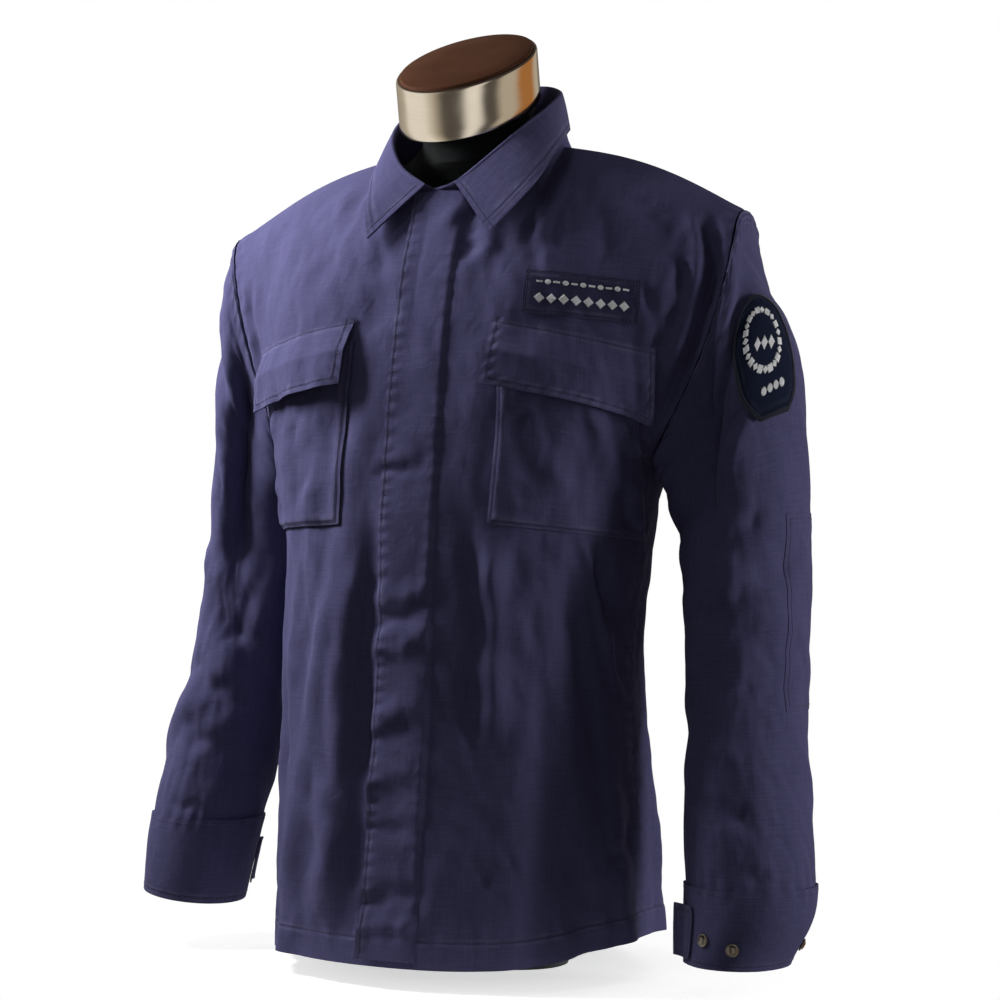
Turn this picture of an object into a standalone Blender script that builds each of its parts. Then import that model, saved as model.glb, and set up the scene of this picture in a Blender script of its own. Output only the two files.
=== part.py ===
"""A navy field shirt with bellows chest pockets, worn by a limbless dress form with a metal neck cap.

Metres, +Z up. The shirt faces -Y and the wearer's left is +X. The origin is the middle of the form's base.
A half panel is a surface of u, from the centre line (0) to the side seam and armhole (1), and v, from hem (0)
to shoulder (1). What lies on a panel or a sleeve uses that surface's own points, moved out along its normals.
"""

import math
from collections import namedtuple

import bpy
import numpy as np

# One cloth layer, the gap at a seam, and the step from one layer's middle to the next
CLOTH = 0.0016
SEAM_GAP = 0.0003
LAYER = CLOTH + SEAM_GAP

# Body of the shirt
ARM_V = 0.62
SIDE_ROUND = 0.86
NECK_U = 0.36
NECK_FRONT = (0.0, -0.0745, 0.749)
NECK_SIDE = (0.094, 0.015, 0.793)
NECK_BACK = (0.0, 0.070, 0.822)
SHOULDER_TIP = (0.280, 0.020, 0.722)
SHOULDER_BOW = 0.012
ARMPIT = (0.197, 0.002, 0.487)
ARMHOLE_FRONT = 0.052
ARMHOLE_BACK = 0.078
# How far the armhole swings outward at its front and back; the worn shirt sits over to its left
ARMHOLE_BOW = {1: (0.032, 0.004), -1: (-0.004, 0.004)}
BOW_FADE = 0.40
# Pulls of the smooth curve that stands for the neckline and shoulder seam lower down on a half panel
EDGE_START_PULL = {"front": (0.30, 0.02, 0.06), "back": (0.30, -0.02, -0.01)}
EDGE_END_PULL = (0.28, 0.0, -0.16)

# Fly edge and width, measured from the centre front
FLY_EDGE = -0.0195
FLY_WIDTH = 0.060
# Extra room under a layer, for the flat facets of the curved wall below it
FACET_ROOM = 0.0008
SLEEVE_ROOM = 0.0020
TAB_ROOM = 0.0010
FLAP_ROOM = 0.0006

# Sleeve and what is on it
SLEEVE_START_GAP = 0.0020
CUFF_V = 0.87
CUFF_TUCK = 0.006
CUFF_LIFT = 0.0010
PATCH_HALF = (0.037, 0.051)
PATCH_PLACE = (37, 0.230)
ELBOW_HALF = (0.074, 0.088)
ELBOW_PLACE = (318, 0.545)
# Degrees round the cuff and place along the sleeve
BUTTON_PLACES = {
    1: ((108, 0.945), (76, 0.958), (342, 0.962)),
    -1: ((345, 0.960), (300, 0.962), (255, 0.960)),
}
CUFF_TAB = {1: (138, 0.940), -1: (222, 0.940)}
CUFF_TAB_HALF = (0.014, 0.022)
BUTTON_RADIUS = 0.0060
BUTTON_HEIGHT = 0.0034

# Collar, from its front ends to the centre back
COLLAR_ROLL = 0.0022
COLLAR_SEAT = 0.0017
LEAF_BULGE = 0.004
# The place along the collar that meets the neck point
COLLAR_SPLIT = 0.58
COLLAR_STEPS = (0.0, 0.5, 0.86, 1.0, 1.14, 1.4, 1.7, 2.0)

# Pocket and flap: how far they stand off the front
POCKET_RIM_ACROSS = 0.08
POCKET_RIM_DOWN = 0.09
POCKET_EDGE = 0.0018
POCKET_SWELL = 0.0010
FLAP_STAND = 0.0085
FLAP_DROP = 0.0030
FLAP_WAVE = 0.0020
TAB_STAND = 0.0070

# Dress form and neck cap
FORM_COUNT = 28
CAP_RADIUS = 0.069
CAP_HEIGHT = 0.045
CAP_COUNT = 40
CAP_RIM = 0.003
CAP_TOP_DISC = 0.003
CAP_LEAN = math.radians(31.0)
CAP_BASE = (-0.002, 0.0147, 0.8410)
TURNED_SHARP = 0.6
BUTTON_COUNT = 12

# How many grid cells each wall has: across or around, then along
PANEL_GRID = (15, 23)
BACK_GRID = (26, 20)
SLEEVE_GRID = (22, 18)
CUFF_GRID = (22, 3)
FLY_GRID = (4, 25)
FLY_ENDS = (0.026, 0.744)
POCKET_GRID = (8, 9)
FLAP_GRID = (10, 5)
TAPE_GRID = (7, 3)
ELBOW_GRID = (9, 8)
TAB_GRID = (4, 3)
PATCH_GRID = (8, 8)
COLLAR_COUNT = 13

# Small step of a slope measured by differences
STEP = 1e-3
FINE_STEP = 1e-4

Level = namedtuple("Level", "t front_z front_y back_z back_y right_x right_z left_x left_z side_y")
LEVELS = (
    Level(0.00, 0.020, -0.184, 0.020, 0.146, 0.186, 0.019, 0.186, 0.036, 0.000),
    Level(0.20, 0.114, -0.172, 0.108, 0.140, 0.188, 0.108, 0.182, 0.124, 0.000),
    Level(0.40, 0.207, -0.160, 0.202, 0.126, 0.187, 0.201, 0.174, 0.211, 0.002),
    Level(0.60, 0.302, -0.152, 0.298, 0.112, 0.189, 0.296, 0.171, 0.302, 0.004),
    Level(0.80, 0.402, -0.147, 0.398, 0.116, 0.186, 0.391, 0.181, 0.394, 0.004),
    Level(1.00, 0.502, -0.135, 0.494, 0.122, 0.197, 0.487, 0.197, 0.487, 0.002),
)

# How the cloth leaves the shoulder seam and the neckline, downwards: pull along y and z at a half panel's top
Lift = namedtuple("Lift", "u front_y front_z back_y back_z")
LIFTS = (
    Lift(0.00, 0.090, 0.240, -0.130, 0.300),
    Lift(0.18, 0.150, 0.240, -0.170, 0.280),
    Lift(0.36, 0.230, 0.230, -0.230, 0.250),
    Lift(0.70, 0.230, 0.200, -0.220, 0.220),
    Lift(1.00, 0.180, 0.200, -0.180, 0.200),
)

# Large soft folds of the body: centre u at the hem and at the fold's top, its reach along v, width and depth
Fold = namedtuple("Fold", "face side u_low u_high v_low v_high width depth")
FOLDS = (
    Fold("front", -1, 0.42, 0.30, -0.10, 0.52, 0.075, 0.0085),
    Fold("front", -1, 0.64, 0.60, -0.10, 0.50, 0.070, -0.0080),
    Fold("front", -1, 0.84, 0.78, -0.10, 0.46, 0.070, 0.0070),
    Fold("front", 1, 0.40, 0.44, -0.10, 0.40, 0.085, 0.0060),
    Fold("front", 1, 0.74, 0.60, -0.10, 0.56, 0.070, -0.0085),
    Fold("front", 1, 0.92, 0.80, -0.10, 0.48, 0.060, 0.0070),
    Fold("back", -1, 0.22, 0.16, -0.10, 0.55, 0.080, 0.0080),
    Fold("back", -1, 0.52, 0.50, -0.10, 0.50, 0.075, -0.0085),
    Fold("back", -1, 0.80, 0.76, -0.10, 0.46, 0.070, 0.0070),
    Fold("back", 1, 0.26, 0.18, -0.10, 0.52, 0.080, 0.0075),
    Fold("back", 1, 0.56, 0.48, -0.10, 0.54, 0.075, -0.0085),
    Fold("back", 1, 0.84, 0.76, -0.10, 0.44, 0.070, 0.0065),
)

# Sheets on the fronts, by the distance from the centre line and the height of each corner
Sheet = namedtuple(
    "Sheet", "name side in_top_x in_top_z out_top_x out_top_z in_low_x in_low_z out_low_x out_low_z"
)
POCKETS = (
    Sheet("pocket_right", -1, 0.074, 0.600, 0.184, 0.582, 0.076, 0.424, 0.176, 0.420),
    Sheet("pocket_left", 1, 0.090, 0.600, 0.214, 0.574, 0.088, 0.428, 0.177, 0.411),
)
FLAPS = (
    Sheet("flap_right", -1, 0.070, 0.622, 0.198, 0.600, 0.070, 0.559, 0.190, 0.538),
    Sheet("flap_left", 1, 0.085, 0.621, 0.229, 0.590, 0.080, 0.556, 0.220, 0.524),
)
TAPE = Sheet("name_tape", 1, 0.112, 0.664, 0.211, 0.652, 0.112, 0.624, 0.211, 0.612)

# Sleeve rings below the armhole: innermost and outermost points, the middle's y, half depths to front and back
Ring = namedtuple("Ring", "v in_x in_z out_x out_z mid_y front_d back_d")
SLEEVE_RINGS = {
    1: (
        Ring(0.00, 0.1970, 0.487, 0.2800, 0.7220, 0.010, 0.052, 0.078),
        Ring(0.06, 0.2010, 0.487, 0.2910, 0.6870, 0.010, 0.056, 0.076),
        Ring(0.12, 0.2060, 0.485, 0.3000, 0.6560, 0.011, 0.060, 0.075),
        Ring(0.20, 0.2120, 0.479, 0.3210, 0.6200, 0.013, 0.065, 0.074),
        Ring(0.28, 0.2170, 0.466, 0.3340, 0.5700, 0.017, 0.069, 0.073),
        Ring(0.36, 0.2215, 0.446, 0.3370, 0.5000, 0.020, 0.070, 0.072),
        Ring(0.46, 0.2250, 0.390, 0.3400, 0.4100, 0.020, 0.070, 0.070),
        Ring(0.58, 0.2320, 0.310, 0.3420, 0.3180, 0.010, 0.068, 0.066),
        Ring(0.70, 0.2400, 0.225, 0.3490, 0.2280, -0.008, 0.065, 0.062),
        Ring(0.82, 0.2490, 0.135, 0.3640, 0.1360, -0.030, 0.062, 0.058),
        Ring(0.88, 0.2520, 0.090, 0.3720, 0.0900, -0.040, 0.060, 0.056),
        Ring(1.00, 0.2560, 0.031, 0.3500, 0.0290, -0.050, 0.055, 0.053),
    ),
    -1: (
        Ring(0.00, 0.1970, 0.487, 0.2800, 0.7220, 0.010, 0.052, 0.078),
        Ring(0.06, 0.2000, 0.487, 0.2860, 0.6880, 0.010, 0.056, 0.077),
        Ring(0.12, 0.2030, 0.485, 0.2890, 0.6560, 0.011, 0.060, 0.076),
        Ring(0.20, 0.2060, 0.478, 0.2920, 0.6100, 0.013, 0.064, 0.074),
        Ring(0.28, 0.2080, 0.464, 0.2945, 0.5550, 0.016, 0.068, 0.073),
        Ring(0.36, 0.2100, 0.444, 0.2975, 0.4900, 0.019, 0.070, 0.072),
        Ring(0.46, 0.2115, 0.390, 0.3060, 0.4050, 0.022, 0.070, 0.070),
        Ring(0.58, 0.2130, 0.315, 0.3190, 0.3200, 0.016, 0.068, 0.066),
        Ring(0.70, 0.2180, 0.240, 0.3280, 0.2420, -0.004, 0.065, 0.062),
        Ring(0.82, 0.2270, 0.160, 0.3380, 0.1640, -0.028, 0.062, 0.058),
        Ring(0.88, 0.2330, 0.118, 0.3430, 0.1230, -0.038, 0.060, 0.056),
        Ring(1.00, 0.2450, 0.044, 0.3420, 0.0580, -0.052, 0.056, 0.054),
    ),
}

# Diagonal sleeve folds: degrees round the sleeve (0 is outermost, 90 the front), place along it, slope, width, depth
SleeveFold = namedtuple("SleeveFold", "side angle v slope width depth")
SLEEVE_FOLDS = (
    SleeveFold(1, 80, 0.22, 0.0022, 0.045, -0.0060),
    SleeveFold(1, 150, 0.40, 0.0016, 0.035, -0.0050),
    SleeveFold(1, 60, 0.52, -0.0012, 0.040, 0.0045),
    SleeveFold(1, 120, 0.64, 0.0014, 0.035, -0.0050),
    SleeveFold(1, 250, 0.60, -0.0014, 0.040, -0.0050),
    SleeveFold(-1, 70, 0.24, 0.0018, 0.045, -0.0060),
    SleeveFold(-1, 100, 0.46, 0.0014, 0.035, 0.0040),
    SleeveFold(-1, 120, 0.60, 0.0018, 0.035, -0.0060),
    SleeveFold(-1, 60, 0.70, -0.0014, 0.040, 0.0050),
    SleeveFold(-1, 250, 0.62, -0.0014, 0.040, -0.0050),
)

# Collar from the front end (0) to the centre back (1): fold line and leaf edge, which differ by side
Leaf = namedtuple("Leaf", "a fold_right fold_left fold_y fold_z edge_right edge_left edge_y edge_z")
LEAVES = (
    Leaf(0.00, 0.0060, 0.0265, -0.0830, 0.7520, 0.0580, 0.0730, -0.1040, 0.7010),
    Leaf(0.18, 0.0400, 0.0480, -0.0680, 0.7740, 0.0700, 0.1030, -0.0840, 0.7380),
    Leaf(0.38, 0.0680, 0.0700, -0.0350, 0.8060, 0.0840, 0.1090, -0.0460, 0.7720),
    Leaf(0.58, 0.0785, 0.0785, 0.0100, 0.8340, 0.0920, 0.0990, 0.0060, 0.8020),
    Leaf(0.78, 0.0660, 0.0660, 0.0560, 0.8560, 0.0740, 0.0730, 0.0640, 0.8180),
    Leaf(0.90, 0.0380, 0.0380, 0.0770, 0.8650, 0.0430, 0.0420, 0.0930, 0.8190),
    Leaf(1.00, 0.0000, 0.0000, 0.0840, 0.8670, 0.0000, 0.0000, 0.1030, 0.8190),
)

# Dress form rings: height, middle's y, half width, half depth, lean towards the front in degrees, squareness
FormRing = namedtuple("FormRing", "z mid_y half_x half_y lean power")
FORM_RINGS = (
    FormRing(0.000, 0.000, 0.100, 0.058, 0.0, 0.90),
    FormRing(0.012, 0.000, 0.106, 0.062, 0.0, 0.90),
    FormRing(0.060, -0.006, 0.130, 0.084, 0.0, 0.92),
    FormRing(0.140, -0.008, 0.147, 0.102, 0.0, 0.94),
    FormRing(0.240, -0.006, 0.140, 0.096, 0.0, 0.96),
    FormRing(0.320, -0.006, 0.136, 0.092, 0.0, 0.96),
    FormRing(0.420, -0.004, 0.152, 0.104, 0.0, 0.92),
    FormRing(0.510, 0.002, 0.166, 0.106, 0.0, 0.88),
    FormRing(0.590, 0.008, 0.172, 0.098, 0.0, 0.86),
    FormRing(0.650, 0.014, 0.190, 0.080, 0.0, 0.88),
    FormRing(0.690, 0.016, 0.214, 0.058, 0.0, 0.92),
    FormRing(0.7316, 0.016, 0.216, 0.040, 0.0, 0.98),
    FormRing(0.7556, 0.015, 0.180, 0.036, 3.0, 1.00),
    FormRing(0.7726, 0.014, 0.126, 0.036, 9.0, 1.00),
    FormRing(0.7885, 0.012, 0.080, 0.042, 17.0, 1.00),
    FormRing(0.802, 0.012, 0.063, 0.050, 25.0, 1.00),
    FormRing(CAP_BASE[2] - 0.0004, CAP_BASE[1] + 0.0002, 0.060, 0.055, 31.0, 1.00),
)

NAVY = (0.070, 0.068, 0.130, 1.0)
TAPE_NAVY = (0.030, 0.030, 0.060, 1.0)
PATCH_NAVY = (0.012, 0.014, 0.030, 1.0)
JERSEY_BLACK = (0.010, 0.012, 0.012, 1.0)
CAP_METAL = (0.620, 0.560, 0.460, 1.0)
CAP_BROWN = (0.110, 0.045, 0.025, 1.0)
BUTTON_METAL = (0.090, 0.075, 0.060, 1.0)


def spline(x, rows, key, value):
    """Cubic through a table's rows: each stretch is a Hermite curve with the table's mean slopes at its ends."""
    xs = np.array([getattr(row, key) for row in rows], float)
    ys = np.array([getattr(row, value) for row in rows], float)
    slope = np.gradient(ys, xs)
    x = np.asarray(x, float)
    i = np.clip(np.searchsorted(xs, x, side="right") - 1, 0, len(xs) - 2)
    step = xs[i + 1] - xs[i]
    t = np.clip((x - xs[i]) / step, 0.0, 1.0)
    return hermite(t, ys[i], slope[i] * step, ys[i + 1], slope[i + 1] * step)


def hermite(t, start, start_pull, end, end_pull):
    """Cubic that leaves start along start_pull and reaches end along end_pull as t goes from 0 to 1."""
    return (
        (2 * t**3 - 3 * t**2 + 1) * start
        + (t**3 - 2 * t**2 + t) * start_pull
        + (3 * t**2 - 2 * t**3) * end
        + (t**3 - t**2) * end_pull
    )


def unit(vectors):
    return vectors / np.maximum(np.linalg.norm(vectors, axis=-1, keepdims=True), 1e-12)


def bell(x, width):
    """Smooth hump, 1 in the middle and 0 from 1.5 widths on."""
    return np.cos(np.clip(x / width / 3.0, -0.5, 0.5) * math.pi) ** 2


def body_section(u, t, side, face):
    """Level section: a quarter superellipse from centre line to side seam, its height eased between them."""
    half = spline(t, LEVELS, "t", "left_x" if side > 0 else "right_x")
    side_z = spline(t, LEVELS, "t", "left_z" if side > 0 else "right_z")
    side_y = spline(t, LEVELS, "t", "side_y")
    mid_y = spline(t, LEVELS, "t", face + "_y")
    mid_z = spline(t, LEVELS, "t", face + "_z")
    turn = u * math.pi / 2
    across = np.sin(turn) ** SIDE_ROUND
    deep = np.clip(np.cos(turn), 0.0, 1.0) ** SIDE_ROUND
    z = mid_z + (side_z - mid_z) * np.sin(turn) ** 4
    return np.stack([side * half * across, side_y + (mid_y - side_y) * deep, z], axis=-1)


def top_edge(u, side, face):
    """Neckline from the centre to the neck point, then the straight shoulder seam to its tip."""
    start = np.array(NECK_FRONT if face == "front" else NECK_BACK)
    neck = np.array(NECK_SIDE)
    tip = np.array(SHOULDER_TIP)
    turn = np.clip(u / NECK_U, 0.0, 1.0)[..., None] * math.pi / 2
    round_neck = np.concatenate(
        [
            start[0] + (neck[0] - start[0]) * np.sin(turn),
            neck[1] + (start[1] - neck[1]) * np.cos(turn),
            start[2] + (neck[2] - start[2]) * (1 - np.cos(turn)),
        ],
        axis=-1,
    )
    seam = neck + (tip - neck) * np.clip((u - NECK_U) / (1 - NECK_U), 0.0, 1.0)[..., None]
    points = np.where((u <= NECK_U)[..., None], round_neck, seam)
    points[..., 2] += SHOULDER_BOW * np.sin(np.clip((u - NECK_U) / (1 - NECK_U), 0.0, 1.0) * math.pi)
    return points * np.array([side, 1.0, 1.0])


def eased_edge(u, w, side, face):
    """The edge that the cubics aim for: a smooth curve low down, the true edge with its neck corner at the top."""
    true = top_edge(u, side, face)
    start = np.array(NECK_FRONT if face == "front" else NECK_BACK) * np.array([side, 1.0, 1.0])
    tip = np.array(SHOULDER_TIP) * np.array([side, 1.0, 1.0])
    pull = np.array(EDGE_START_PULL[face]) * np.array([side, 1.0, 1.0])
    end_pull = np.array(EDGE_END_PULL) * np.array([side, 1.0, 1.0])
    smooth = hermite(u[..., None], start, pull, tip, end_pull)
    return smooth + (true - smooth) * w[..., None] ** 4


def armhole(angle, side):
    """Closed seam in radians: 0 at the shoulder tip, a quarter turn at the front, half a turn at the armpit."""
    tip = np.array(SHOULDER_TIP)
    pit = np.array(ARMPIT)
    centre = (tip + pit) / 2
    rise = (tip - pit) / 2
    depth = np.where(np.sin(angle) > 0, ARMHOLE_FRONT, ARMHOLE_BACK)
    points = centre + rise * np.cos(angle)[..., None]
    points[..., 1] -= depth * np.sin(angle)
    points[..., 0] += armhole_bow(angle, side)
    return points * np.array([side, 1.0, 1.0])


def armhole_bow(angle, side):
    front, back = ARMHOLE_BOW[side]
    return np.where(np.sin(angle) > 0, front, back) * np.sin(angle) ** 2


def smooth_panel(u, v, side, face):
    """Half panel without folds: sections up to the armpit, then cubics to the top edge, drawn to the armhole."""
    u, v = np.broadcast_arrays(np.asarray(u, float), np.asarray(v, float))
    t = np.clip(v / ARM_V, 0.0, 1.0)
    low = body_section(u, t, side, face)
    w = np.clip((v - ARM_V) / (1 - ARM_V), 0.0, 1.0)
    start = body_section(u, np.ones_like(u), side, face)
    below = body_section(u, np.full_like(u, 1 - STEP), side, face)
    start_pull = (start - below) / (STEP * ARM_V) * (1 - ARM_V)
    end_pull = np.stack(
        [
            np.zeros_like(u),
            spline(u, LIFTS, "u", face + "_y"),
            spline(u, LIFTS, "u", face + "_z"),
        ],
        axis=-1,
    )
    one = np.ones_like(u)
    high = hermite(w[..., None], start, start_pull, eased_edge(u, w, side, face), end_pull)
    edge_start = body_section(one, one, side, face)
    edge_below = body_section(one, one - STEP, side, face)
    edge_pull = (edge_start - edge_below) / (STEP * ARM_V) * (1 - ARM_V)
    tip_pull = np.array([0.0, getattr(LIFTS[-1], face + "_y"), getattr(LIFTS[-1], face + "_z")])
    edge = hermite(w[..., None], edge_start, edge_pull, eased_edge(one, w, side, face), tip_pull)
    turn = math.pi * (1 - w) * (1 if face == "front" else -1)
    drawn = (armhole(turn, side) - edge) * (u**3)[..., None]
    return np.where((v > ARM_V)[..., None], high + drawn, low)


def body_folds(u, v, side, face):
    """Sum of long soft ridges and troughs, each a bell across u that fades in and out along v."""
    total = np.zeros(np.broadcast(u, v).shape)
    for fold in FOLDS:
        if fold.face != face or fold.side != side:
            continue
        along = np.clip((v - fold.v_low) / (fold.v_high - fold.v_low), 0.0, 1.0)
        middle = fold.u_low + (fold.u_high - fold.u_low) * along
        total = total + fold.depth * np.cos(along * math.pi / 2) ** 1.5 * bell(u - middle, fold.width)
    return total * np.clip((1 - u) / 0.06, 0.0, 1.0) * np.clip(u / 0.10, 0.0, 1.0)


def outward(u, v, side, face):
    """Unit normal of the smooth half panel, away from the body."""
    u, v = np.broadcast_arrays(np.asarray(u, float), np.asarray(v, float))
    u = np.clip(u, STEP, 1 - STEP)
    v = np.clip(v, STEP, 1 - STEP)
    along_u = smooth_panel(u + STEP, v, side, face) - smooth_panel(u - STEP, v, side, face)
    along_v = smooth_panel(u, v + STEP, side, face) - smooth_panel(u, v - STEP, side, face)
    sign = side * (1 if face == "front" else -1)
    return unit(np.cross(along_u, along_v)) * sign


def panel(u, v, side, face, lift=0.0):
    """Half panel with its folds, moved out by lift."""
    u, v = np.broadcast_arrays(np.asarray(u, float), np.asarray(v, float))
    out = body_folds(u, v, side, face) + lift
    return smooth_panel(u, v, side, face) + outward(u, v, side, face) * np.asarray(out)[..., None]


def panel_place(x, z, side, face="front"):
    """The u and v whose point has this distance from the centre line and this height, by Newton's steps."""
    x, z = np.broadcast_arrays(np.asarray(x, float), np.asarray(z, float))
    u = np.clip(x / 0.22, 0.02, 0.98)
    v = np.clip((z - 0.02) / 0.74, 0.02, 0.98)
    for _ in range(12):
        here = smooth_panel(u, v, side, face)
        by_u = (smooth_panel(u + FINE_STEP, v, side, face) - here) / FINE_STEP
        by_v = (smooth_panel(u, v + FINE_STEP, side, face) - here) / FINE_STEP
        miss_x = x - side * here[..., 0]
        miss_z = z - here[..., 2]
        a, b = side * by_u[..., 0], side * by_v[..., 0]
        c, d = by_u[..., 2], by_v[..., 2]
        whole = a * d - b * c
        u = np.clip(u + (d * miss_x - b * miss_z) / whole, 0.0, 0.999)
        v = np.clip(v + (a * miss_z - c * miss_x) / whole, 0.0, 0.999)
    return u, v


def on_front(x, z, side, lift):
    """Points over a front at these distances from the centre line and heights, moved out by lift."""
    u, v = panel_place(x, z, side)
    return panel(u, v, side, "front", lift)


def sleeve(angle, v, side, lift=0.0):
    """Sleeve: tilted ellipses between an inner and an outer line, blending out of the armhole, with its folds."""
    angle, v = np.broadcast_arrays(np.asarray(angle, float), np.asarray(v, float))
    smooth = smooth_sleeve(angle, v, side)
    around = smooth_sleeve(angle + STEP, v, side) - smooth_sleeve(angle - STEP, v, side)
    down = np.clip(v + STEP, 0, 1)
    up = np.clip(v - STEP, 0, 1)
    along = smooth_sleeve(angle, down, side) - smooth_sleeve(angle, up, side)
    normal = unit(np.cross(around, along)) * side
    out = sleeve_folds(angle, v, side) + lift
    return smooth + normal * out[..., None]


def smooth_sleeve(angle, v, side):
    rows = SLEEVE_RINGS[side]
    inner = np.stack([spline(v, rows, "v", "in_x"), 0 * v, spline(v, rows, "v", "in_z")], axis=-1)
    outer = np.stack([spline(v, rows, "v", "out_x"), 0 * v, spline(v, rows, "v", "out_z")], axis=-1)
    middle = (inner + outer) / 2
    half = (outer - inner) / 2
    points = middle + half * np.cos(angle)[..., None]
    front = spline(v, rows, "v", "front_d")
    back = spline(v, rows, "v", "back_d")
    depth = np.where(np.sin(angle) > 0, front, back)
    points[..., 1] = spline(v, rows, "v", "mid_y") - depth * np.sin(angle)
    points[..., 0] += armhole_bow(angle, side) * np.clip(1 - v / BOW_FADE, 0.0, 1.0) ** 1.5
    points = points * np.array([side, 1.0, 1.0])
    # The first stretch follows the armhole seam itself, a little way outside it
    seam = armhole(angle, side)
    seam[..., 0] += side * SLEEVE_START_GAP
    blend = np.clip(1 - v / 0.10, 0.0, 1.0)[..., None] ** 2
    return points + (seam - smooth_ring_start(angle, side)) * blend


def smooth_ring_start(angle, side):
    first = SLEEVE_RINGS[side][0]
    x = (first.in_x + first.out_x) / 2 + (first.out_x - first.in_x) / 2 * np.cos(angle)
    z = (first.in_z + first.out_z) / 2 + (first.out_z - first.in_z) / 2 * np.cos(angle)
    x = x + armhole_bow(angle, side)
    depth = np.where(np.sin(angle) > 0, first.front_d, first.back_d)
    return np.stack([side * x, first.mid_y - depth * np.sin(angle), z], axis=-1)


def sleeve_folds(angle, v, side):
    """Sum of short troughs and ridges that slant round the sleeve, none at the armhole or on the cuff."""
    total = np.zeros(np.broadcast(angle, v).shape)
    for fold in SLEEVE_FOLDS:
        if fold.side != side:
            continue
        turned = (np.degrees(angle) - fold.angle + 180.0) % 360.0 - 180.0
        across = v - fold.v - fold.slope * turned
        total = total + fold.depth * bell(across, fold.width) * bell(turned, 60.0)
    return total * np.clip(v / 0.10, 0.0, 1.0) * np.clip((CUFF_V - v) / 0.05, 0.0, 1.0)


def grid_normals(points, closed=False):
    """Unit normals of a grid of points by central differences, wrapped round where the grid is closed."""
    if closed:
        along_i = np.roll(points, -1, axis=0) - np.roll(points, 1, axis=0)
    else:
        along_i = np.gradient(points, axis=0)
    along_j = np.gradient(points, axis=1)
    return unit(np.cross(along_i, along_j))


def trimmed(points, gaps=(0, 0, 0, 0)):
    """Draws an open grid's four edges in by these gaps: first and last along i, then first and last along j."""
    points = points.copy()
    for edge, inner, gap in ((0, 1, gaps[0]), (-1, -2, gaps[1])):
        points[edge] += unit(points[inner] - points[edge]) * gap
    for edge, inner, gap in ((0, 1, gaps[2]), (-1, -2, gaps[3])):
        points[:, edge] += unit(points[:, inner] - points[:, edge]) * gap
    return points


def wall(name, points, material, closed=False, normals=None, thickness=CLOTH):
    """Closed cloth wall: the grid moved half a thickness out and in, joined round its open edges."""
    if normals is None:
        normals = grid_normals(points, closed)
    out = (points + normals * thickness / 2).reshape(-1, 3)
    back = (points - normals * thickness / 2).reshape(-1, 3)
    n, m = points.shape[:2]
    index = np.arange(n * m).reshape(n, m)
    far = np.roll(index, -1, axis=0) if closed else index[1:]
    near = index if closed else index[:-1]
    quads = np.stack([near[:, :-1], far[:, :-1], far[:, 1:], near[:, 1:]], axis=-1).reshape(-1, 4)
    faces = [quads, quads[:, ::-1] + n * m]
    rims = [(near[:, 0], far[:, 0], False), (near[:, -1], far[:, -1], True)]
    if not closed:
        rims += [(index[0, :-1], index[0, 1:], True), (index[-1, :-1], index[-1, 1:], False)]
    for first, second, turned in rims:
        rim = np.stack([first, first + n * m, second + n * m, second], axis=-1)
        faces.append(rim[:, ::-1] if turned else rim)
    return solid(name, np.concatenate([out, back]), np.concatenate(faces), material)


def solid(name, points, faces, material, sharp=0.9):
    """Mesh object from points and faces, its normals made to point out."""
    mesh = bpy.data.meshes.new(name)
    mesh.from_pydata(np.asarray(points, float).tolist(), [], [list(map(int, face)) for face in faces])
    mesh.validate()
    mesh.materials.append(material)
    obj = bpy.data.objects.new(name, mesh)
    bpy.context.collection.objects.link(obj)
    if signed_volume(mesh) < 0:
        mesh.flip_normals()
    mesh.shade_smooth()
    mesh.set_sharp_from_angle(angle=sharp)
    return obj


def signed_volume(mesh):
    mesh.calc_loop_triangles()
    points = np.empty(len(mesh.vertices) * 3)
    mesh.vertices.foreach_get("co", points)
    corners = np.empty(len(mesh.loop_triangles) * 3, int)
    mesh.loop_triangles.foreach_get("vertices", corners)
    triangle = points.reshape(-1, 3)[corners.reshape(-1, 3)]
    return np.linalg.det(triangle).sum() / 6


def material(name, colour, roughness, metallic=0.0):
    made = bpy.data.materials.new(name)
    made.use_nodes = True
    shader = made.node_tree.nodes["Principled BSDF"]
    shader.inputs["Base Color"].default_value = colour
    shader.inputs["Roughness"].default_value = roughness
    shader.inputs["Metallic"].default_value = metallic
    return made


def shoulder_normals(u, side):
    """Shared direction of both walls at the shoulder seam, so that their edges meet in a mitre."""
    top = np.full_like(u, 0.9985)
    return unit(outward(u, top, side, "front") + outward(u, top, side, "back"))


def half_grid(u, v, side, face):
    return panel(u[:, None], v[None, :], side, face)


def half_normals(u, v, side, face):
    """Normals of a half panel's grid, with the shared ones at the shoulder, the side seam and the centre line."""
    normals = grid_normals(half_grid(u, v, side, face))
    normals *= np.sign((normals * outward(u[:, None], v[None, :], side, face)).sum(-1, keepdims=True))
    normals[:, -1] = shoulder_normals(u, side)
    low = v <= ARM_V
    normals[-1, low] = np.array([side, 0.0, 0.0])
    normals[0, :, 0] = 0.0
    return unit(normals)


def build_front(name, side, navy):
    u = np.linspace(0, 1, PANEL_GRID[0] + 1)
    v = np.linspace(0, 1, PANEL_GRID[1] + 1)
    points = trimmed(half_grid(u, v, side, "front"), (SEAM_GAP / 2, SEAM_GAP / 2, 0, SEAM_GAP / 2))
    return wall(name, points, navy, normals=half_normals(u, v, side, "front"))


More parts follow.
